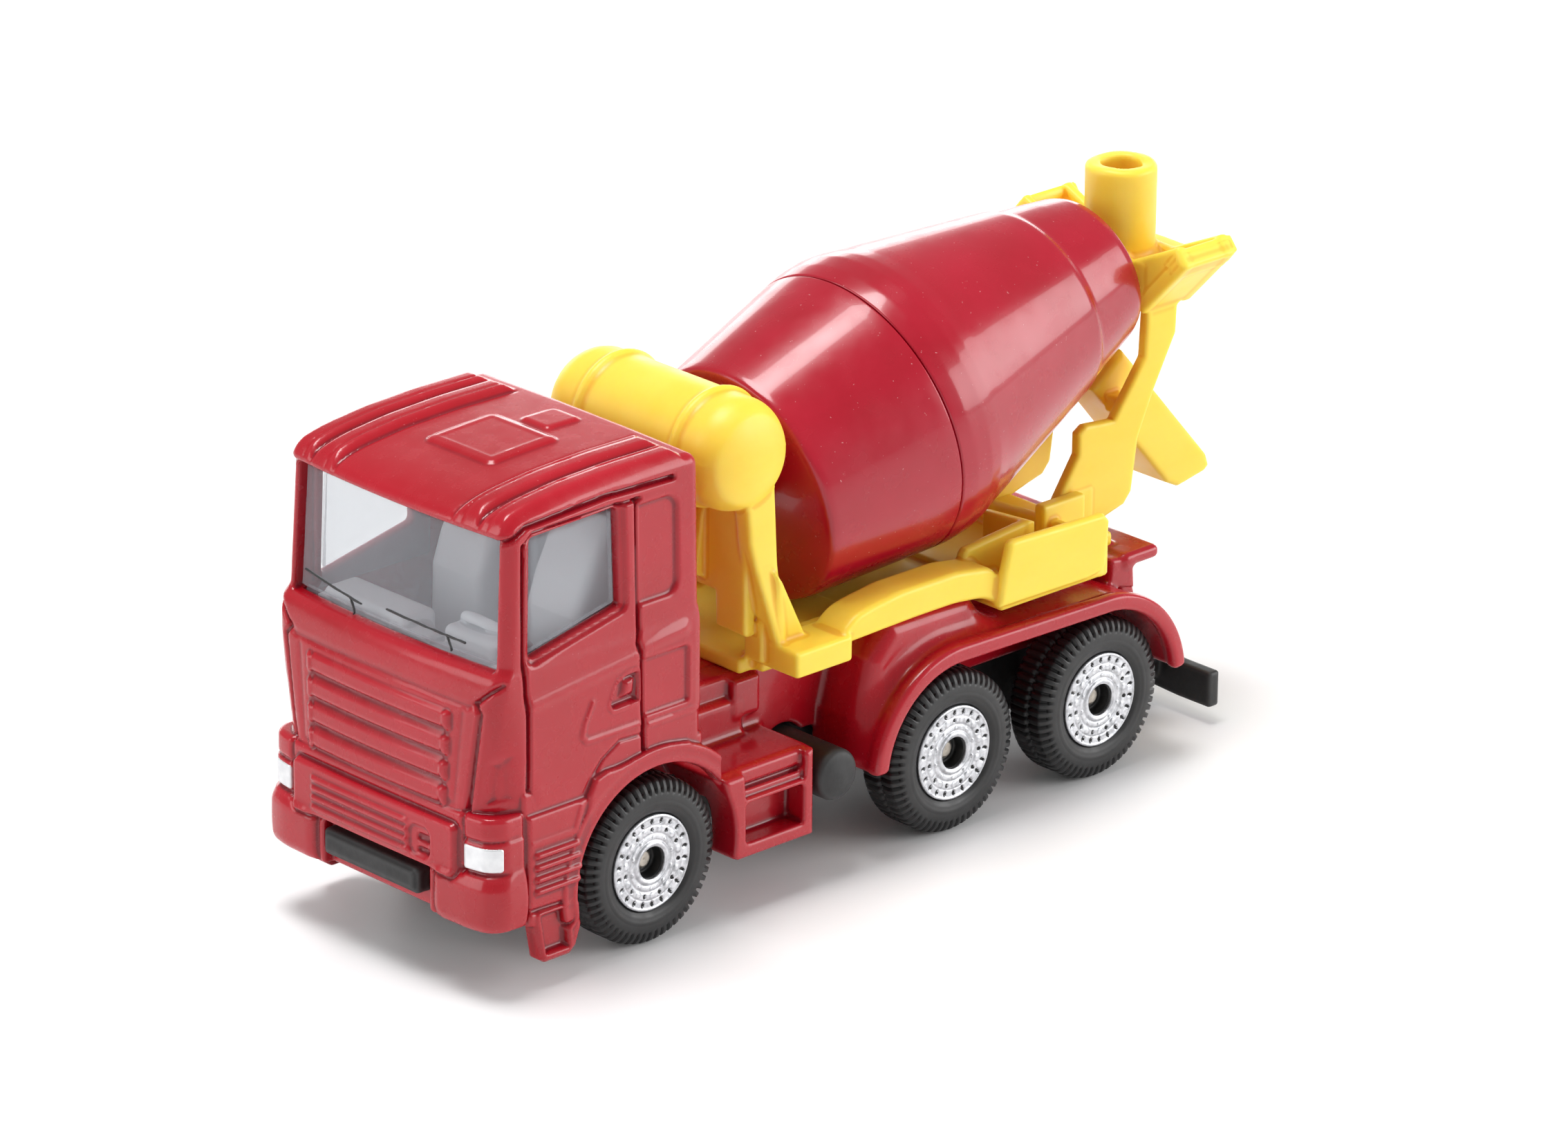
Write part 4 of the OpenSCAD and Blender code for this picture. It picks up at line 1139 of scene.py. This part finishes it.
def hub_relief(r, a):
    """Height of the hub print's rings, studs and nuts, and the distance to its nearest dot."""
    def dots(count, at, size, shift=0, long=1):
        wrapped = (a * count / (2 * math.pi) + shift) % 1 - 0.5
        arc = wrapped * 2 * math.pi / count * at
        return hypot(arc, (r - at) / long) - size

    outer_dots = dots(22, 3.22, 0.165, 0, 1.5)
    inner_dots = dots(11, 2.58, 0.17, 0.25, 1.1)
    bosses = dots(11, 2.58, 0.3, 0.75)
    nuts = dots(10, 1.98, 0.17, 0.1)
    height = 0.1 * np.exp(-((r - 1.5) / 0.16) ** 2) + 0.07 * np.exp(-((r - 3.58) / 0.07) ** 2)
    height += 0.06 * np.clip(-bosses / 0.12, 0, 1) + 0.07 * np.clip(-nuts / 0.06, 0, 1)
    height -= 0.08 * np.exp(-((r - 2.25) / 0.1) ** 2) + 0.05 * np.exp(-((r - 2.9) / 0.06) ** 2)
    height -= 0.07 * np.exp(-((r - 1.76) / 0.07) ** 2)
    holes = np.minimum(outer_dots, inner_dots)
    return height - 0.14 * np.clip(-holes / 0.05, 0, 1), holes


def hub_face(position, side):
    """Silver hub print with rows of dots that show black."""
    face = WHEEL_OUT - 0.33
    radii = np.concatenate([[1.27], np.arange(1.3, 3.62, 0.055), [3.66, 3.7]])
    turns = 288
    angle = np.arange(turns) * 2 * math.pi / turns
    r, a = np.meshgrid(radii, angle)
    height, holes = hub_relief(r, a)
    top = np.stack([r * np.cos(a), r * np.sin(a), face + 0.12 + height], -1)
    back = np.stack([r * np.cos(a), r * np.sin(a), np.full_like(r, face - 0.1)], -1)[:, ::-1]
    points = np.concatenate([top, back], 1)
    n = points.shape[1]
    i, j = np.meshgrid(np.arange(turns), np.arange(n), indexing="ij")
    i2, j2 = (i + 1) % turns, (j + 1) % n
    quads = np.stack([i * n + j, i * n + j2, i2 * n + j2, i2 * n + j], -1).reshape(-1, 4)
    piece = wheel_mesh(f"hub_{position}_{side}", points.reshape(-1, 3), quads, position, side)
    dark = np.zeros(points.shape[:2], bool)
    dark[:, :len(radii)] = holes < 0
    piece.data.materials.append(FOIL)
    piece.data.materials.append(PRINT_BLACK)
    which = (dark[i, j] & dark[i2, j]).ravel()
    piece.data.polygons.foreach_set("material_index", which.astype(np.int32))
    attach(piece, position + "_wheelset")
    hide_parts(f"{position}_hub_print_{side}")


def axle(position):
    """Steel wire with slightly mushroomed, chamfered ends."""
    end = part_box(position + "_axle")[1].y / MM
    outline = [(-end, 0), (-end, 0.55), (-end + 0.12, 0.7), (-end + 0.5, 0.75), (end - 0.5, 0.75),
               (end - 0.12, 0.7), (end, 0.55), (end, 0)]
    points, quads = lathe(soften(outline, 0.08), 48)
    return wheel_mesh(f"axle_{position}", points, quads, position, "left")


# ---------------------------------------------------------------- building the truck

for name, shape, low, high, material, cell, nodes in (
        ("cab", cab_shell, (20, -14, 1), (43, 14, 38.5), ENAMEL, CELL, ["body_casting"]),
        ("chassis", chassis, (-31.5, -13, 4), (23, 13, 19), ENAMEL, CELL, ["body_casting"]),
        ("base", base, (-36, -13, 1), (43, 13, 15), BASE_BLACK, CELL, ["base_plate"]),
        ("frame", mixer_frame, (-27, -13, 15.5), (18.5, 13, 39), YELLOW, CELL, ["mixer_frame"]),
        ("rear_unit", hopper_unit, (-39.2, -9.8, 16.5), (-22, 9.8, 44.2), YELLOW, CELL, ["hopper_unit"]),
        ("chute", chute, (-42.8, -4.5, 16), (-28.5, 4.5, 30), YELLOW, CELL, ["discharge_chute"]),
        ("glazing", glazing, (26, -12.5, 24), (42, 12.5, 37), CLEAR, CELL, ["window_glazing"]),
        ("interior", interior, (22, -10.6, 14), (40, 10.6, 35), GREY, CELL, ["cab_interior"]),
        ("headlights", headlight, (40, -13.5, 9.6), (43, 13.5, 12.6), SILVER, 0.12, []),
        ("wipers", wiper, (39, -11, 24.6), (41, 8.4, 27), PRINT_BLACK, 0.1, [])):
    place(sculpt(name, shape, low, high, cell), "chassis", material, *nodes)

place(turned("drum_front", FRONT_OUTLINE), "drum", DRUM_RED, "drum_front_half")
place(turned("drum_spigot", SPIGOT), "drum", DRUM_RED)
place(turned("drum_rear", REAR_OUTLINE), "drum", DRUM_RED, "drum_rear_half")

for position in AXLES:
    place(axle(position), position + "_wheelset", STEEL, position + "_axle")
    for side in ("left", "right"):
        place(wheel(position, side), position + "_wheelset", WHEEL_BLACK, f"{position}_wheel_{side}")
        hub_face(position, side)


# ---------------------------------------------------------------- camera, floor and light

def look(obj, eye, target, roll=0):
    """Aims a camera or lamp, turned by roll about its line of sight."""
    eye, target = Vector(eye), Vector(target)
    turn = (target - eye).to_track_quat("-Z", "Y").to_euler()
    obj.rotation_mode = "QUATERNION"
    obj.rotation_quaternion = turn.to_quaternion()
    obj.rotation_quaternion.rotate(Quaternion((target - eye).normalized(), roll))
    obj.location = eye


camera = bpy.data.objects.new("camera", bpy.data.cameras.new("camera"))
bpy.context.scene.collection.objects.link(camera)
camera.data.lens = 190.48
camera.data.sensor_width = 36
camera.data.clip_start, camera.data.clip_end = 0.01, 10
look(camera, (0.39776, 0.41854, 0.24646), (0.00152, 0, 0.0195), math.radians(-0.45))
bpy.context.scene.camera = camera

floor = bpy.data.objects.new("floor", bpy.data.meshes.new("floor"))
floor.data.from_pydata([(-3, -3, 0), (3, -3, 0), (3, 3, 0), (-3, 3, 0)], [], [(0, 1, 2, 3)])
bpy.context.scene.collection.objects.link(floor)
pale = Nodes("floor", Roughness=0.45)
pale.set("Base Color", pale.mix(pale.noise(60, 2), (0.93, 0.932, 0.935), (0.95, 0.95, 0.95)))
floor.data.materials.append(pale.material)

world = bpy.data.worlds.new("world")
world.use_nodes = True
world.node_tree.nodes["Background"].inputs["Color"].default_value = (1, 1, 1, 1)
world.node_tree.nodes["Background"].inputs["Strength"].default_value = 0.38
bpy.context.scene.world = world
bpy.context.scene.view_settings.view_transform = "Standard"


def softbox(name, eye, target, size, watts):
    lamp = bpy.data.objects.new(name, bpy.data.lights.new(name, "AREA"))
    lamp.data.shape = "RECTANGLE"
    lamp.data.size, lamp.data.size_y = size
    lamp.data.energy = watts
    bpy.context.scene.collection.objects.link(lamp)
    look(lamp, eye, target)


softbox("overhead", (0.08, -0.1, 0.85), (0, 0, 0.02), (0.4, 0.35), 6)
softbox("backdrop", (-0.9, -1, 0.16), (0, 0, 0.05), (2, 0.46), 9)
softbox("side", (-0.95, 0.95, 0.42), (0, 0, 0.05), (1.2, 0.7), 13)
softbox("front", (1.1, -0.5, 0.45), (0, 0, 0.04), (0.8, 0.7), 5)
